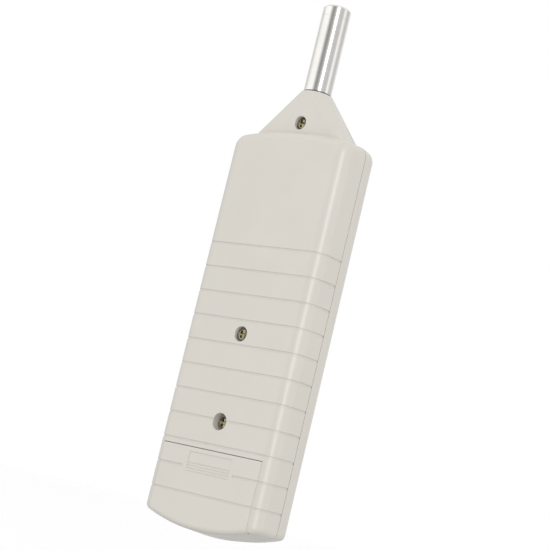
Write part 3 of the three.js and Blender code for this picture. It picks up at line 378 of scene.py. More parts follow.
def rounded_slab(name: str, x: Span, z: Span, y: Span, corner: float, edge: float = 0.0) -> Piece:
    """Draws a slab with rounded corners, lying across Y.

    Args:
        name: The object's name.
        x: Its sides.
        z: Its lower and upper end.
        y: Its outer and inner face.
        corner: Radius of the corners.
        edge: Radius of the edge round the outer face.

    Returns:
        The slab.
    """
    quarter = math.pi / 2
    sign = 1 if y[1] > y[0] else -1

    def ring(depth: float, inset: float) -> Ring:
        """Returns the outline at one depth, moved inwards."""
        round_ = max(corner - inset, LEAST_ROUND)
        points = []
        for turn, (sx, sz) in enumerate(((1, 1), (-1, 1), (-1, -1), (1, -1))):
            cx = (x[1] if sx > 0 else x[0]) - sx * (inset + round_)
            cz = (z[1] if sz > 0 else z[0]) - sz * (inset + round_)
            for i in range(CORNER_STEPS + 1):
                angle = (turn + i / CORNER_STEPS) * quarter
                points.append(Vector((cx + round_ * math.cos(angle), depth,
                                      cz + round_ * math.sin(angle))))
        return points

    angles = [i / EDGE_STEPS * quarter for i in range(EDGE_STEPS + 1)] if edge else []
    rim = [ring(y[0] + sign * edge * (1 - math.sin(a)), edge * (1 - math.cos(a)))
           for a in reversed(angles)]
    return loft(name, [*(rim or [ring(y[0], 0.0)]), ring(y[1], 0.0)])


def turned(name: str, profile: list[tuple[float, float]], centre: Vector, axis: str,
           steps: int = ROUND_STEPS) -> Piece:
    """Turns a closed profile about an axis.

    Args:
        name: The object's name.
        profile: Points of [radius, place along the axis].
        centre: A point on the axis.
        axis: "Y" or "Z".
        steps: Facets round the axis.

    Returns:
        The turned solid.
    """
    shape = bmesh.new()
    rings = []
    for i in range(steps):
        angle = 2 * math.pi * i / steps
        c, s = math.cos(angle), math.sin(angle)
        points = [Vector((r * c, r * s, h)) if axis == "Z" else Vector((r * c, h, r * s))
                  for r, h in profile]
        rings.append([shape.verts.new(centre + p) for p in points])
    count = len(profile)
    for i, ring in enumerate(rings):
        after = rings[(i + 1) % steps]
        for j in range(count):
            k = (j + 1) % count
            turning = [after[m] for m in (k, j) if profile[m][0] >= ON_AXIS]
            if turning:
                shape.faces.new([ring[j], ring[k], *turning])
    return from_bmesh(name, shape)


def work(piece: Piece, tool: Piece, how: Cut) -> Piece:
    """Cuts, joins or trims a piece with a tool, which is used up.

    Args:
        piece: The solid that is worked.
        tool: The solid that works on it.
        how: What the tool does.

    Returns:
        The worked piece.
    """
    step = piece.modifiers.new("work", "BOOLEAN")
    step.operation = how.value
    step.solver = "EXACT"
    step.object = tool
    view = bpy.context.evaluated_depsgraph_get()
    shaped = bpy.data.meshes.new_from_object(piece.evaluated_get(view))
    spent = piece.data
    piece.modifiers.clear()
    piece.data = shaped
    bpy.data.meshes.remove(spent)
    bpy.data.meshes.remove(tool.data)
    return piece


def cut(piece: Piece, *tools: Piece) -> Piece:
    """Cuts each tool out of a piece in turn and returns the piece."""
    for tool in tools:
        work(piece, tool, Cut.REMOVE)
    return piece


def slab_over(name: str, node: str, grow: float, y: Span, corner: float,
              edge: float = 0.0) -> Piece:
    """Draws a rounded slab over a CAD node's outline.

    Args:
        name: The object's name.
        node: The node that gives the sides and ends.
        grow: How far the slab reaches past them.
        y: Its outer and inner face.
        corner: Radius of the corners.
        edge: Radius of the edge round the outer face.

    Returns:
        The slab.
    """
    low, high = node_box(node)
    return rounded_slab(name, (low.x - grow, high.x + grow), (low.z - grow, high.z + grow), y,
                        corner, edge)


def gather(name: str, parts: list[Piece]) -> Piece:
    """Puts separate solids that don't touch into one object.

    Args:
        name: The new object's name.
        parts: The solids, which are used up.

    Returns:
        The object that holds them all.
    """
    shape = bmesh.new()
    for part in parts:
        shape.from_mesh(part.data)
        bpy.data.meshes.remove(part.data)
    return from_bmesh(name, shape)


def twin(name: str, piece: Piece) -> Piece:
    """Returns a copy of a piece with a mesh of its own."""
    copy = bpy.data.objects.new(name, piece.data.copy())
    bpy.context.scene.collection.objects.link(copy)
    return copy


def settle(piece: Piece, body: str, slot: str, *nodes: str,
           finish: Finish | None = None) -> Piece:
    """Turns a piece to metres, shades and dresses it, and puts it on its body.

    Args:
        piece: The finished solid, in millimetres.
        body: The CAD body that it rides on.
        slot: The record's material slot.
        *nodes: The CAD nodes that it stands for.
        finish: Its finish, where it isn't the slot's own.

    Returns:
        The settled piece.
    """
    mesh = piece.data
    mesh.transform(Matrix.Scale(MM, 4))
    mesh.polygons.foreach_set("use_smooth", [True] * len(mesh.polygons))
    mesh.set_sharp_from_angle(angle=CREASE)
    mesh.materials.clear()
    mesh.materials.append((finish or SLOT_FINISHES[slot]).material())
    even = piece.modifiers.new("even_normals", "WEIGHTED_NORMAL")
    even.keep_sharp = True
    even.weight = 90
    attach(piece, body)
    if nodes:
        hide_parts(*nodes)
    LOG.info("%s rides on %s, finish %s, stands for %s", piece.name, body, slot, list(nodes))
    return piece


# ------------------------------------------------------------------------------ case


@dataclass
class CaseForm:
    """The drafted, rounded block of the case and its tapered neck, in millimetres."""

    half_width: float = 32.5
    half_depth: float = 12.5
    height: float = 179.8
    bottom_radius: float = 92.0
    top_radius: float = 150.0
    bottom_corner: float = 3.0
    top_corner: float = 5.5
    side_round: float = 6.0
    bottom_round: float = 2.4
    top_round: float = 4.0
    side_draft: float = 0.038
    end_draft: float = 0.08
    wall: float = 2.2
    parting: float = -2.4
    parting_gap: float = 0.3
    neck_top: float = 199.0
    neck_root: float = 174.0
    neck_top_radius: float = 7.2
    neck_half_depth: float = 7.0
    neck_flare: float = 0.85
    neck_round: float = 3.8
    neck_wall: float = 2.0
    neck_inside_drop: float = 6.0
    bore_radius: float = 5.2
    least_round: float = 1.0
    arc_steps: int = 18
    corner_steps: int = 7
    edge_steps: int = 9
    neck_steps: int = 16

    @property
    def joints(self) -> Span:
        """The faces of the front and the rear shell at the parting."""
        return (self.parting - self.parting_gap / 2, self.parting + self.parting_gap / 2)

    @staticmethod
    def drawn_in(round_: float, from_face: float) -> float:
        """Returns how far a rounded edge has drawn in at a distance from its face."""
        if from_face >= round_:
            return 0.0
        return round_ - math.sqrt(round_**2 - (round_ - max(from_face, 0.0)) ** 2)

    def inner(self, round_: float, inset: float) -> float:
        """Returns an edge's radius, `inset` inside the surface."""
        return max(round_ - inset, self.least_round)

    def end_profile(self, half: float, radius: float, corner: float) -> list[tuple[float, float]]:
        """Draws half of one end's outline.

        Args:
            half: Half width of the case.
            radius: Radius of the end's arc.
            corner: Radius of the corner.

        Returns:
            Points of [x, rise] from the middle to the side wall.
        """
        sweep = math.asin((half - corner) / (radius - corner))
        rise = radius - (radius - corner) * math.cos(sweep)
        arc = [(radius * math.sin(sweep * i / self.arc_steps),
                radius - radius * math.cos(sweep * i / self.arc_steps))
               for i in range(self.arc_steps + 1)]
        turn = [sweep + (math.pi / 2 - sweep) * i / self.corner_steps
                for i in range(1, self.corner_steps + 1)]
        bend = [(half - corner + corner * math.sin(a), rise - corner * math.cos(a)) for a in turn]
        return arc + bend

    def half_at(self, y: float, inset: float) -> float:
        """Returns half the width at one depth, `inset` inside the surface."""
        from_face = self.half_depth - inset - abs(y)
        drawn = self.drawn_in(self.inner(self.side_round, inset), from_face)
        return self.half_width - inset - drawn - self.side_draft * abs(y - self.parting)

    def ring(self, y: float, inset: float) -> Ring:
        """Returns the outline at one depth, `inset` inside the surface."""
        from_face = self.half_depth - inset - abs(y)
        lean = self.end_draft * abs(y - self.parting) + inset
        low_in = lean + self.drawn_in(self.inner(self.bottom_round, inset), from_face)
        high_in = lean + self.drawn_in(self.inner(self.top_round, inset), from_face)
        half = self.half_at(y, inset)
        low = self.end_profile(half, self.bottom_radius - inset,
                               self.inner(self.bottom_corner, inset))
        high = self.end_profile(half, self.top_radius - inset, self.inner(self.top_corner, inset))
        right = [(x, low_in + rise) for x, rise in low]
        right += [(x, self.height - high_in - rise) for x, rise in reversed(high)]
        left = [(-x, z) for x, z in reversed(right[1:-1])]
        return [Vector((x, y, z)) for x, z in right + left]

    def edge_depths(self, inset: float) -> list[float]:
        """Returns how far below the face the rings of the rounded edge lie."""
        round_ = self.inner(self.side_round, inset)
        return [round_ * (1 - math.cos(i / self.edge_steps * math.pi / 2))
                for i in range(self.edge_steps + 1)]

    def depths(self, inset: float) -> list[float]:
        """Returns the depths at which the block's rings lie."""
        face = self.half_depth - inset
        steps = self.edge_depths(inset)
        return ([d - face for d in steps] + [self.parting] + [face - d for d in reversed(steps)])

    def solid(self, name: str, inset: float) -> Piece:
        """Returns the block, `inset` inside the surface."""
        return loft(name, [self.ring(y, inset) for y in self.depths(inset)])

    def neck(self, name: str, inset: float, root: float, top: float, top_radius: float) -> Piece:
        """Draws the tapered neck.

        Args:
            name: The object's name.
            inset: How far inside the surface it lies.
            root: Height of its root.
            top: Height of its round top.
            top_radius: Radius of the top.

        Returns:
            The neck.
        """
        half = self.neck_top_radius + (self.neck_top - root) * self.neck_flare - inset
        depth = self.neck_half_depth - inset
        round_ = self.neck_round - inset / 2
        low, high = [], []
        for turn, (sx, sy) in enumerate(((1, 1), (-1, 1), (-1, -1), (1, -1))):
            for i in range(self.neck_steps + 1):
                angle = (turn + i / self.neck_steps) * math.pi / 2
                c, s = math.cos(angle), math.sin(angle)
                low.append(Vector((sx * (half - round_) + round_ * c,
                                   sy * (depth - round_) + round_ * s, root)))
                high.append(Vector((top_radius * c, top_radius * s, top)))
        return loft(name, [low, high])

    def shell_walls(self) -> Piece:
        """Returns the hollow case in one piece, with its neck and bore."""
        spigot = node_box("mic_tube")[0].z
        walls = self.solid("walls", 0.0)
        work(walls, self.neck("neck", 0.0, self.neck_root, self.neck_top,
                              self.neck_top_radius), Cut.JOIN)
        inside = self.solid("inside", self.wall)
        work(inside, self.neck("neck_inside", self.neck_wall,
                               self.neck_root - self.neck_inside_drop, spigot + 1,
                               self.bore_radius), Cut.JOIN)
        ends = (self.neck_root, self.neck_top + 2)
        bore = turned("bore", [(0, ends[0]), (self.bore_radius, ends[0]),
                               (self.bore_radius, ends[1]), (0, ends[1])],
                      Vector((0, 0, 0)), "Z")
        work(inside, bore, Cut.JOIN)
        return cut(walls, inside)


@dataclass
class Grooves:
    """Fine cross grooves with eased lips, over the back and both sides."""

    form: CaseForm
    count: int = 11
    top_margin: float = 54.3
    last: float = 15.8
    width: float = 0.7
    depth: float = 0.3
    lip: float = 0.16
    past_parting: float = 0.85

    def heights(self) -> list[float]:
        """Returns the grooves' heights from the highest to the lowest."""
        first = self.form.height - self.top_margin
        pitch = (first - self.last) / (self.count - 1)
        return [first - i * pitch for i in range(self.count)]

    def _outline(self, z: float, inset: float) -> Ring:
        """Returns the cutter's horse-shoe outline at one height."""
        form = self.form
        start = form.parting - self.past_parting
        face = form.half_depth - inset
        depths = [start] + [face - d for d in reversed(form.edge_depths(inset))]
        right = [Vector((form.half_at(y, inset), y, z)) for y in depths]
        left = [Vector((-p.x, p.y, z)) for p in reversed(right)]
        far = [Vector((-REACH, start, z)), Vector((-REACH, REACH, z)),
               Vector((REACH, REACH, z)), Vector((REACH, start, z))]
        return right + left + far

    def cutters(self) -> list[Piece]:
        """Returns one cutting solid for each groove, from the highest to the lowest."""
        half, lip = self.width / 2, self.lip
        levels = [(-half - 1.5 * lip, -0.5 * lip), (-half, lip), (-half, self.depth),
                  (half, self.depth), (half, lip), (half + 1.5 * lip, -0.5 * lip)]
        return [loft(f"groove_{i}", [self._outline(z + dz, inset) for dz, inset in levels])
                for i, z in enumerate(self.heights())]


@dataclass
class CaseScrew:
    """A pan-head cross-recess screw in its counterbore on the centre line."""

    node: str
    surface: float
    bore_radius: float
    head_radius: float = 2.7
    head_height: float = 1.9
    shank_radius: float = 1.35
    boss_wall: float = 1.4
    boss_sink: float = 1.0
    seat_gap: float = 0.2
    hole_gap: float = 0.25
    lip: float = 0.22
    crown: float = 0.95
    recess_depth: float = 1.25
    recess_foot: Span = (0.8, 0.3)  # reach and half width of the cross
    recess_mouth: Span = (2.2, 0.66)
    recess_over: float = 0.4

    @property
    def centre(self) -> Vector:
        """The point on the screw's axis at the origin's depth."""
        low, high = node_box(self.node)
        return Vector((0, 0, (low.z + high.z) / 2))

    @property
    def top(self) -> float:
        """Depth of the head's crown."""
        return node_box(self.node)[1].y

    def boss(self, from_y: float) -> Piece:
        """Returns the case's boss round the screw, before it is bored."""
        radius = self.bore_radius + self.boss_wall
        end = self.surface - self.boss_sink
        profile = [(0, from_y), (radius, from_y), (radius, end), (0, end)]
        return turned("boss", profile, self.centre, "Y")

    def bore(self) -> Piece:
        """Returns what is bored out of the case, with an eased lip."""
        seat = self.top - self.head_height - self.seat_gap
        hole, radius, lip = self.shank_radius + self.hole_gap, self.bore_radius, self.lip
        profile = [(0, -REACH), (hole, -REACH), (hole, seat), (radius, seat),
                   (radius, self.surface - lip), (radius + 2 * lip, self.surface + lip),
                   (radius + 2 * lip, self.surface + 4), (0, self.surface + 4)]
        return turned("bore", profile, self.centre, "Y", FINE_STEPS)

    def _recess(self) -> Piece:
        """Returns the tapered cross that is punched into the head."""
        def cross(y: float, size: Span) -> Ring:
            """Returns the cross's outline at one depth."""
            reach, half = size
            corners = []
            for turn in range(4):
                spin = Matrix.Rotation(turn * math.pi / 2, 3, "Y")
                for x, z in ((reach, -half), (reach, half), (half, half)):
                    corners.append(spin @ Vector((x, 0, -z)) + Vector((0, y, 0)) + self.centre)
            return corners

        return loft("recess", [cross(self.top - self.recess_depth, self.recess_foot),
                               cross(self.top + self.recess_over, self.recess_mouth)])

    def build(self) -> None:
        """Builds the screw and puts it on the case."""
        top, seat, r = self.top, self.top - self.head_height, self.head_radius
        foot = node_box(self.node)[0].y
        crown = [(r * math.cos(a), top - self.crown + self.crown * math.sin(a))
                 for a in (math.radians(d) for d in range(0, 90, 9))]
        profile = [(0, foot), (self.shank_radius - 0.3, foot), (self.shank_radius, foot + 0.5),
                   (self.shank_radius, seat), (r - 0.12, seat), (r, seat + 0.12),
                   *crown, (0, top)]
        screw = turned(f"{self.node}_steel", profile, self.centre, "Y")
        cut(screw, self._recess())
        settle(screw, "case", "screw", self.node)


@dataclass
class Door:
    """The sliding battery door with its ribbed thumb grip."""

    form: CaseForm
    half_width: float = 27.4
    gap: float = 0.3
    side_gap_share: float = 0.35
    foot: float = 8.27
    tongue_out: float = 0.6
    tongue_thickness: float = 0.7
    tongue_lift: float = 0.05
    grip_half: float = 11.8
    grip_height: float = 9.2
    grip_margin: float = 1.8
    grip_depth: float = 0.25
    grip_border: float = 2.2
    rib_count: int = 4
    rib_pitch: float = 1.2
    rib_width: float = 0.5
    rib_depth: float = 0.18
    rib_ease: float = 0.1
    overlap: float = 0.5

    @property
    def top(self) -> float:
        """Height of the door's upper edge."""
        return node_box("battery_door")[1].z

    def space(self, name: str, gap: float) -> Piece:
        """Returns the room that the door fills, grown by `gap`."""
        past = self.overlap if gap else 0.0
        inner = self.form.half_depth - self.form.wall - past
        joint = self.form.joints[1] - past
        outline = [(joint, -REACH), (REACH, -REACH), (REACH, self.top + gap),
                   (inner, self.top + gap), (inner, self.foot + gap), (joint, self.foot + gap)]
        half = self.half_width + self.side_gap_share * gap
        return bar(name, outline, (-half, half))

    def tongue_space(self, name: str, gap: float, foot: float) -> Piece:
        """Returns the two tongues, grown by `gap`."""
        inner = self.form.half_depth - self.form.wall + self.tongue_lift
        y = (inner - gap / 2, inner + self.tongue_thickness + gap / 2)
        z = (foot, self.top - 1 + 2 * gap)
        outer = self.half_width + self.tongue_out + gap
        near = self.half_width - 1
        return gather(name, [block("tongue", (-outer, -near), y, z),
                             block("tongue", (near, outer), y, z)])

    def _grip(self) -> list[Piece]:
        """Returns the scoop's cutter and those of the ribs in its lower part."""
        face = self.form.half_depth
        high = self.top - self.grip_margin
        low = high - self.grip_height
        x = (-self.grip_half, self.grip_half)
        tools = [bar("scoop", [(face, low), (face + 1, low), (face + 1, high),
                               (face - self.grip_depth, high)], x)]
        ease = self.rib_ease
        for i in range(self.rib_count):
            z = low + self.rib_width + i * self.rib_pitch
            scooped = face - self.grip_depth * (z - low) / self.grip_height
            floor = scooped - self.rib_depth
            tools.append(bar("rib", [(floor, z + ease), (floor, z + self.rib_width - ease),
                                     (scooped + 0.02, z + self.rib_width + 0.02),
                                     (face + 2, z + self.rib_width + 0.6),
                                     (face + 2, z - 0.6), (scooped + 0.02, z - 0.02)], x))
        return tools

    def build(self, walls: Piece, grooves: list[Piece]) -> None:
        """Builds the door.

        Args:
            walls: A copy of the hollow case, which is used up.
            grooves: Copies of the groove cutters that cross the door.
        """
        walls.name = "battery_door_skin"
        work(walls, self.space("door_space", 0.0), Cut.KEEP)
        work(walls, self.tongue_space("tongues", 0.0, self.foot), Cut.JOIN)
        high = self.top - self.grip_margin
        beyond = self.grip_half + self.grip_border
        for groove in grooves:
            cut(groove, block("grip_field", (-beyond, beyond), (0, REACH),
                              (high - self.grip_height, high)))
        cut(walls, *grooves, *self._grip())
        settle(walls, "battery_door", "case", "battery_door")


@dataclass
class Case:
    """Both shells of the case, the door and the case screws."""

    form: CaseForm = field(default_factory=CaseForm)
    screws: tuple[CaseScrew, ...] = (
        CaseScrew("screw_low", 12.5, 3.7),
        CaseScrew("screw_mid", 12.5, 3.3),
        CaseScrew("screw_neck", 7.0, 3.0),
    )
    bay_wall: float = 2.0
    bay_wall_below: float = 0.4
    bay_half_width: float = 29.5
    notch: Span = (24.5, 29.4)
    notch_rise: float = 4.0
    jack_radius: float = 2.8
    trimmer_radius: float = 2.2
    side_hole_depth: float = 4.4
    label_sink: float = 0.5
    label_corner: float = 2.0
    dish_depth: float = 1.5
    slot_half_width: float = 1.5
    slot_margin: float = 3.0
    fit: float = 0.2
    lip_inset: float = 0.9
    lip_gap: float = 0.02

    @property
    def bay_top(self) -> float:
        """Height of the wall above the battery bay."""
        return node_box("battery_door")[1].z - self.bay_wall_below

    def _bay(self, y: Span) -> Piece:
        """Returns the wall above the battery bay between two depths."""
        low, half = self.bay_top, self.bay_half_width
        return block("bay_wall", (-half, half), y, (low, low + self.bay_wall))

    def _side_holes(self) -> list[Piece]:
        """Returns the holes through the +X wall over the output jack and the trimmer."""
        holes = []
        x = (self.form.half_width - self.side_hole_depth, REACH)
        for node, radius in (("output_jack", self.jack_radius),
                             ("cal_rotor", self.trimmer_radius)):
            low, high = node_box(node)
            y, z = (low.y + high.y) / 2, (low.z + high.z) / 2
            steps = [2 * math.pi * i / HOLE_STEPS for i in range(HOLE_STEPS)]
            outline = [(y + radius * math.cos(a), z + radius * math.sin(a)) for a in steps]
            holes.append(bar("side_hole", outline, x))
        return holes

    def _rear(self, walls: Piece, door: Door, grooves: list[Piece]) -> None:
        """Builds the rear shell from the hollow case, which is used up."""
        form, joint, low = self.form, self.form.joints[1], self.bay_top
        walls.name = "rear_shell_skin"
        work(walls, block("behind", (-REACH, REACH), (joint, REACH), (-REACH, TALL)), Cut.KEEP)
        work(walls, self._bay((joint, form.half_depth - form.wall + 0.5)), Cut.JOIN)
        for screw in self.screws:
            work(walls, screw.boss(joint + 1.5), Cut.JOIN)
        notch = block("lead_notch", self.notch, (joint - 1, joint + self.notch_rise),
                      (low - 1, low + self.bay_wall + 1))
        cut(walls, *(screw.bore() for screw in self.screws), *grooves,
            door.space("door_space", door.gap), door.tongue_space("tongue_space", 0.2, -REACH),
            notch, *self._side_holes())
        settle(walls, "case", "case", "rear_shell")

    def _seam(self) -> Piece:
        """Returns what is cut off round the front shell's lip."""
        form, inset = self.form, self.lip_inset
        core = form.solid("core", inset)
        neck = form.neck("neck_core", inset, form.neck_root, form.neck_top,
                         form.neck_top_radius - inset)
        work(core, neck, Cut.JOIN)
        return cut(block("seam", (-REACH, REACH), (form.joints[0], 0), (-REACH, TALL)), core)

    def _front(self, walls: Piece) -> None:
        """Builds the front shell from the hollow case, which is used up."""
        form, fit = self.form, self.fit
        front, rear = form.joints
        walls.name = "front_shell_skin"
        work(walls, block("before", (-REACH, REACH), (-REACH, rear - self.lip_gap),
                          (-REACH, TALL)), Cut.KEEP)
        cut(walls, self._seam())
        work(walls, self._bay((-form.half_depth + form.wall - 0.5, front)), Cut.JOIN)
        floor = -form.half_depth + self.label_sink
        through = (-REACH, -form.half_depth + form.wall + 1)
        cut(walls, slab_over("label_recess", "label_plate", fit, (-REACH, floor),
                             self.label_corner),
            slab_over("aperture", "lcd_window", fit, through, WINDOW_CORNER))
        for name in SWITCH_NAMES:
            x, z = switch_field(name)
            middle = (x[0] + x[1]) / 2
            cut(walls,
                rounded_slab("dish", x, z, (-REACH, floor + self.dish_depth), FIELD_CORNER),
                rounded_slab("slot", (middle - self.slot_half_width,
                                      middle + self.slot_half_width),
                             (z[0] + self.slot_margin, z[1] - self.slot_margin), through, 0.6))
        cut(walls, *self._side_holes())
        settle(walls, "case", "case", "front_shell")

    def build(self) -> None:
        """Builds the shells, the door and the screws."""
        door = Door(self.form)
        walls = self.form.shell_walls()
        grooves = Grooves(self.form).cutters()
        on_door = [twin("door_groove", groove) for groove in grooves[-2:]]
        door.build(twin("door_walls", walls), on_door)
        self._front(twin("front_walls", walls))
        self._rear(walls, door, grooves)
        for screw in self.screws:
            screw.build()


# ------------------------------------------------------------------------------ microphone


@dataclass
class Microphone:
    """The half-inch barrel, its slotted tip and the seal at its foot."""

    wall: float = 1.05
    chamfer: float = 0.9
    ease: float = 0.12
    slot_width: float = 1.0
    slot_pitch: float = 2.4
    slot_margin: float = 0.8
    lid: float = 0.8
    shoulder: float = 1.35
    seam_ease: float = 0.03

    def build(self) -> None:
        """Builds the three pieces and puts them on the case."""
        axis = Vector((0, 0, 0))
        low, high = node_box("mic_tube")
        radius, top = high.x, high.z + SEAM_CLOSE
        seal_low, seal_high = node_box("mic_gasket")
        foot = seal_high.z + 0.05
        spigot = radius - self.shoulder
        e = self.ease
        barrel = [(spigot - self.wall, low.z), (spigot, low.z), (spigot, foot),
                  (radius - e, foot), (radius - 0.3 * e, foot + 0.3 * e), (radius, foot + e),
                  (radius, top - self.seam_ease), (radius - self.seam_ease, top),
                  (radius - self.wall, top), (radius - self.wall, foot + 2),
                  (spigot - self.wall, foot + 1)]
        settle(turned("mic_barrel", barrel, axis, "Z", FINE_STEPS), "case", "mic_metal",
               "mic_tube")
        self._tip(axis, radius)
        outer = seal_high.x
        middle = (seal_low.z + seal_high.z) / 2
        half = (seal_high.z - seal_low.z) / 2
        bulge = [(outer - half + half * math.cos(a), middle + half * math.sin(a))
                 for a in (math.radians(d) for d in range(-90, 91, 15))]
        ring = [(spigot + 0.1, seal_high.z), (spigot + 0.1, seal_low.z), *bulge]
        settle(turned("mic_seal", ring, axis, "Z", FINE_STEPS), "case", "rubber", "mic_gasket")

    def _tip(self, axis: Vector, radius: float) -> None:
        """Builds the chamfered, slotted tip."""
        low, high = node_box("mic_grid_cap")
        inner, e = radius - self.wall, self.ease
        top = high.z
        foot = low.z - SEAM_CLOSE
        profile = [(0, top - self.lid), (inner, top - self.lid), (inner, foot),
                   (radius - self.seam_ease, foot), (radius, foot + self.seam_ease),
                   (radius, top - self.chamfer - e), (radius - 0.3 * e, top - self.chamfer),
                   (radius - self.chamfer, top - 0.3 * e), (radius - self.chamfer - e, top),
                   (0, top)]
        tip = turned("mic_tip", profile, axis, "Z", FINE_STEPS)
        reach = inner - self.slot_margin
        for side in (-1, 0, 1):
            y = side * self.slot_pitch
            half = math.sqrt(reach**2 - y**2)
            width = (y - self.slot_width / 2, y + self.slot_width / 2)
            cut(tip, block("slot", (-half, half), width, (top - 2 * self.lid, top + 1)))
        settle(tip, "case", "mic_metal", "mic_grid_cap")


# ------------------------------------------------------------------------------ front panel


def switch_field(name: str) -> tuple[Span, Span]:
    """Returns the sides and ends of the sunk field that a knob travels in."""
    low, high = node_box(f"{name}_knob")
    return ((low.x - FIELD_MARGIN, high.x + FIELD_MARGIN),
            (low.z - FIELD_MARGIN, high.z + SWITCH_TRAVEL + FIELD_MARGIN))


@dataclass
class FrontPanel:
    """The printed label, the display with its window, and the three slide knobs."""

    window_fit: float = 0.2
    film_corner: float = 1.8
    film_edge: float = 0.08
    ink: float = 0.03
    ink_corner: float = 0.15
    bite: float = 0.02  # how far ink sinks into the film
    tick: Span = (0.7, 2.5)  # beside the field
    tick_half: float = 0.2
    tick_from: float = 4.5
    bar_over: Span = (2.2, 2.6)  # above the field
    rule_rise: float = 6.0
    rule_margin: float = 4.0
    rule_width: float = 0.35
    digits: int = 4
    digit_width: float = 6.4
    digit_height: float = 12.0
    digit_pitch: float = 9.4
    digit_from: float = -17.3
    stroke: float = 1.1
    stroke_corner: float = 0.3
    point_from: float = 8.85
    knob_back: float = -10.7
    knob_ribs: int = 4
    knob_corner: float = 0.7
    knob_edge: float = 0.3
    stem_half: float = 1.3
    valley_depth: float = 0.5
    valley_ease: float = 0.12

    def _label(self) -> None:
        """Builds the label film with its openings and printed marks."""
        low, high = node_box("label_plate")
        film = slab_over("label_film", "label_plate", 0.0, (low.y, high.y), self.film_corner,
                         self.film_edge)
        through = (-REACH, REACH)
        fields = [switch_field(name) for name in SWITCH_NAMES]
        cut(film, slab_over("opening", "lcd_window", self.window_fit, through, WINDOW_CORNER),
            *(rounded_slab("opening", x, z, through, FIELD_CORNER) for x, z in fields))
        settle(film, "case", "label", "label_plate")
        spans = []
        for x, z in fields:
            heights = [z[0] + self.tick_from + i * SWITCH_TRAVEL / 2 for i in range(3)]
            spans += [((x[1] + self.tick[0], x[1] + self.tick[1]),
                       (height - self.tick_half, height + self.tick_half))
                      for height in heights]
            spans.append((x, (z[1] + self.bar_over[0], z[1] + self.bar_over[1])))
        rule = low.z + self.rule_rise
        spans.append(((low.x + self.rule_margin, high.x - self.rule_margin),
                      (rule, rule + self.rule_width)))
        marks = [rounded_slab("mark", x, z, (low.y - self.ink, low.y + self.bite),
                              self.ink_corner) for x, z in spans]
        settle(gather("label_marks", marks), "case", "label", finish=WHITE_INK)

    def _digits(self) -> None:
        """Lays blank seven-part digits on the display glass."""
        low, high = node_box("lcd_glass")
        y = (low.y - 0.05, low.y + 0.01)
        middle = (low.z + high.z) / 2
        z, half, thick = middle - self.digit_height / 2, self.digit_height / 2, self.stroke
        inset, trim = 1.0, 0.7
        spans = []
        for i in range(self.digits):
            x = self.digit_from + i * self.digit_pitch
            for rise in (0.0, half - thick / 2, self.digit_height - thick):
                spans.append(((x + inset, x + self.digit_width - inset),
                              (z + rise, z + rise + thick)))
            for side in (0.0, self.digit_width - thick):
                for rise in (0.0, half):
                    spans.append(((x + side, x + side + thick),
                                  (z + rise + trim, z + rise + half - trim)))
        spans.append(((self.point_from, self.point_from + thick), (z, z + thick)))
        parts = [rounded_slab("stroke", across, up, y, self.stroke_corner)
                 for across, up in spans]
        settle(gather("display_digits", parts), "case", "display", finish=DARK_SEGMENT)

    def _knob(self, name: str) -> None:
        """Builds one ribbed knob with its stem."""
        node = f"{name}_knob"
        low, high = node_box(node)
        cap = slab_over(f"{node}_cap", node, 0.0, (low.y, self.knob_back), self.knob_corner,
                        self.knob_edge)
        x, z, half = (low.x + high.x) / 2, (low.z + high.z) / 2, self.stem_half
        stem = rounded_slab("stem", (x - half, x + half), (z - half, z + half),
                            (self.knob_back - 0.5, high.y), 0.3)
        work(cap, stem, Cut.JOIN)
        pitch = (high.z - low.z) / (2 * self.knob_ribs + 1)
        floor, over, ease = low.y + self.valley_depth, low.y - 0.6, self.valley_ease
        for i in range(self.knob_ribs):
            z = low.z + (2 * i + 1) * pitch
            valley = [(floor, z + ease), (floor, z + pitch - ease),
                      (over, z + pitch + 0.1), (over, z - 0.1)]
            cut(cap, bar("valley", valley, (low.x - 2, high.x + 2)))
        settle(cap, node, "knob", node)

    def build(self) -> None:
        """Builds the label, the window, the digits and the knobs."""
        self._label()
        low, high = node_box("lcd_window")
        window = slab_over("window_pane", "lcd_window", 0.0, (low.y, high.y), 1.0, 0.15)
        settle(window, "case", "window", "lcd_window")
        self._digits()
        for name in SWITCH_NAMES:
            self._knob(name)


# ------------------------------------------------------------------------------ inside


@dataclass
class Inside:
    """The pieces inside the case that keep their CAD shapes, each dressed in its own finish."""

    bevel: float = 0.15
    softened: tuple[str, ...] = ("battery", "battery_snap", "battery_foam", "output_jack",
                                 "controller_chip", "converter_chip", "shield_can")

    def dress(self) -> None:
        """Gives every CAD node that still shows the finish of its slot."""
        slots = {row["node"]: row["material_slot"] for row in frame["record"]["subparts"]}
        for name, node in sorted(frame["nodes"].items()):
            if node.hide_render:
                continue
            slot = slots[name]
            node.data.materials.clear()
            node.data.materials.append(SLOT_FINISHES[slot].material())
            if name in self.softened:
                edge = node.modifiers.new("eased_edges", "BEVEL")
                edge.width = self.bevel * MM
                edge.segments = 2
                edge.limit_method = "ANGLE"
            LOG.info("%s keeps its CAD shape, finish %s", name, slot)


# ------------------------------------------------------------------------------ studio


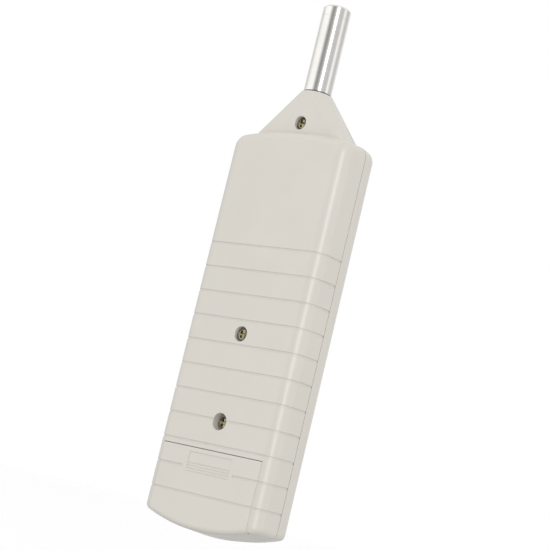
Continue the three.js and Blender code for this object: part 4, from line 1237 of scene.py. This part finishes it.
@dataclass
class Studio:
    """White surroundings, one soft light and the camera; lengths in metres."""

    camera_place: Vector = field(default_factory=lambda: Vector((-0.436297, 0.537340, 0.014482)))
    camera_right: Vector = field(default_factory=lambda: Vector((-0.7766, -0.5856, 0.2323)))
    camera_forward: Vector = field(default_factory=lambda: Vector((0.6230, -0.7686, 0.1455)))
    lens: float = 104.785
    sensor: float = 36.0
    near_clip: float = 0.01
    floor_drop: float = 0.06
    floor_half: float = 6.0
    brightness: float = 1.36
    strip_watts: float = 5.0
    strip_azimuth: float = 138.0
    strip_distance: float = 1.2
    strip_height: float = 0.32
    strip_target: float = 0.12
    strip_size: Span = (0.18, 0.8)
    panels: tuple[tuple[float, float], ...] = (
        (-178, 0.6), (-167, 0.8), (-162, 1.1), (-155, 0.9), (-133, 0.58), (-115, 0.58),
        (-90, 0.8), (-20, 0.7), (0, 0.66), (21, 0.9), (36, 1.05), (72, 1.05), (82, 0.7),
        (94, 0.33), (108, 0.33), (119, 0.55), (130, 1.0), (142, 1.1), (153, 0.62), (170, 0.58),
    )
    levels: tuple[tuple[float, float], ...] = (
        (-0.95, 0.7), (-0.5, 0.9), (-0.1, 1.0), (0.05, 1.0), (0.4, 1.0), (0.7, 1.0),
    )

    def _floor(self) -> None:
        """Lays a plain pale floor below the meter, clear of the sliding door."""
        half, z = self.floor_half, -self.floor_drop
        shape = bmesh.new()
        corners = [shape.verts.new((x * half, y * half, z))
                   for x, y in ((-1, -1), (1, -1), (1, 1), (-1, 1))]
        shape.faces.new(corners)
        floor = from_bmesh("studio_floor", shape)
        material = bpy.data.materials.new("matt_white_paper")
        material.use_nodes = True
        surface = material.node_tree.nodes["Principled BSDF"]
        surface.inputs["Base Color"].default_value = linear("#fbfbfb")
        surface.inputs["Roughness"].default_value = 0.95
        surface.inputs["Specular IOR Level"].default_value = 0.1
        floor.data.materials.append(material)
        floor.visible_diffuse = False
        floor.visible_glossy = False

    def _surroundings(self) -> None:
        """Sets a white world of pale and grey panels round the meter, dimmer low down."""
        world = bpy.data.worlds.new("studio")
        bpy.context.scene.world = world
        world.use_nodes = True
        tree = world.node_tree
        tree.nodes.clear()
        place = add_node(tree, "ShaderNodeTexCoord").outputs["Generated"]
        turn = add_node(tree, "ShaderNodeTexGradient", {}, {"Vector": place},
                        gradient_type="RADIAL")
        round_ = self._ramp(tree, turn.outputs["Fac"],
                            [((azimuth / 360 + 0.5) % 1, level)
                             for azimuth, level in self.panels])
        rise = add_node(tree, "ShaderNodeSeparateXYZ", {}, {0: place}).outputs["Z"]
        lifted = add_node(tree, "ShaderNodeMapRange", {"From Min": -1.0, "From Max": 1.0},
                          {"Value": rise})
        upright = self._ramp(tree, lifted.outputs["Result"],
                             [(z / 2 + 0.5, level) for z, level in self.levels])
        level = add_node(tree, "ShaderNodeMath", {}, {0: round_, 1: upright},
                         operation="MULTIPLY")
        strength = add_node(tree, "ShaderNodeMath", {1: self.brightness * RAMP_TOP**2},
                            {0: level.outputs[0]}, operation="MULTIPLY")
        lit = add_node(tree, "ShaderNodeBackground", {"Color": linear("#ffffff")},
                       {"Strength": strength.outputs[0]})
        seen = add_node(tree, "ShaderNodeBackground", {"Color": linear("#ffffff"),
                                                       "Strength": 1.0})
        ray = add_node(tree, "ShaderNodeLightPath")
        both = add_node(tree, "ShaderNodeMixShader", {},
                        {0: ray.outputs["Is Camera Ray"], 1: lit.outputs[0],
                         2: seen.outputs[0]})
        add_node(tree, "ShaderNodeOutputWorld", {}, {"Surface": both.outputs[0]})

    @staticmethod
    def _ramp(tree: Tree, factor: Socket, stops: list[tuple[float, float]]) -> Socket:
        """Adds a ramp of grey levels.

        Args:
            tree: The tree that takes the ramp.
            factor: The output that is looked up.
            stops: Pairs of place, 0 to 1, and level, up to RAMP_TOP.

        Returns:
            The ramp's output, a share of RAMP_TOP.
        """
        ramp = add_node(tree, "ShaderNodeValToRGB", {}, {"Fac": factor})
        elements = ramp.color_ramp.elements
        ramp.color_ramp.interpolation = "EASE"
        for place, level in sorted(stops):
            grey = level / RAMP_TOP
            elements.new(place).color = (grey, grey, grey, 1.0)
        first, last = sorted(stops)[0][1], sorted(stops)[-1][1]
        for end, level in ((elements[0], first), (elements[-1], last)):
            grey = level / RAMP_TOP
            end.color = (grey, grey, grey, 1.0)
        return ramp.outputs["Color"]

    def _strip(self) -> None:
        """Hangs the upright soft light that streaks the case's rounded edge."""
        away = math.radians(self.strip_azimuth)
        place = Vector((self.strip_distance * math.cos(away),
                        self.strip_distance * math.sin(away), self.strip_height))
        target = Vector((0, 0, self.strip_target))
        lamp = bpy.data.lights.new("strip_light", "AREA")
        lamp.shape = "RECTANGLE"
        lamp.size, lamp.size_y = self.strip_size
        lamp.energy = self.strip_watts
        holder = bpy.data.objects.new("strip_light", lamp)
        holder.location = place
        holder.rotation_mode = "QUATERNION"
        holder.rotation_quaternion = (target - place).to_track_quat("-Z", "Y")
        holder.visible_camera = False
        bpy.context.scene.collection.objects.link(holder)

    def _camera(self) -> None:
        """Stands the camera behind the meter, slightly below and to one side."""
        optics = bpy.data.cameras.new("camera")
        optics.lens = self.lens
        optics.sensor_width = self.sensor
        optics.clip_start = self.near_clip
        holder = bpy.data.objects.new("camera", optics)
        forward = self.camera_forward.normalized()
        up = self.camera_right.cross(forward).normalized()
        right = forward.cross(up)
        turn = Matrix((right, up, -forward)).transposed().to_4x4()
        holder.matrix_world = Matrix.Translation(self.camera_place) @ turn
        bpy.context.scene.collection.objects.link(holder)
        bpy.context.scene.camera = holder

    def build(self) -> None:
        """Sets the whole studio up."""
        bpy.context.scene.view_settings.view_transform = "Standard"
        self._floor()
        self._surroundings()
        self._strip()
        self._camera()
        LOG.info("studio stands")


def main() -> None:
    """Builds every sub-assembly in order."""
    logging.basicConfig(level=logging.INFO, format="%(message)s")
    Case().build()
    Microphone().build()
    FrontPanel().build()
    Inside().dress()
    Studio().build()
    bpy.context.view_layer.update()


if __name__ == "__main__":
    main()
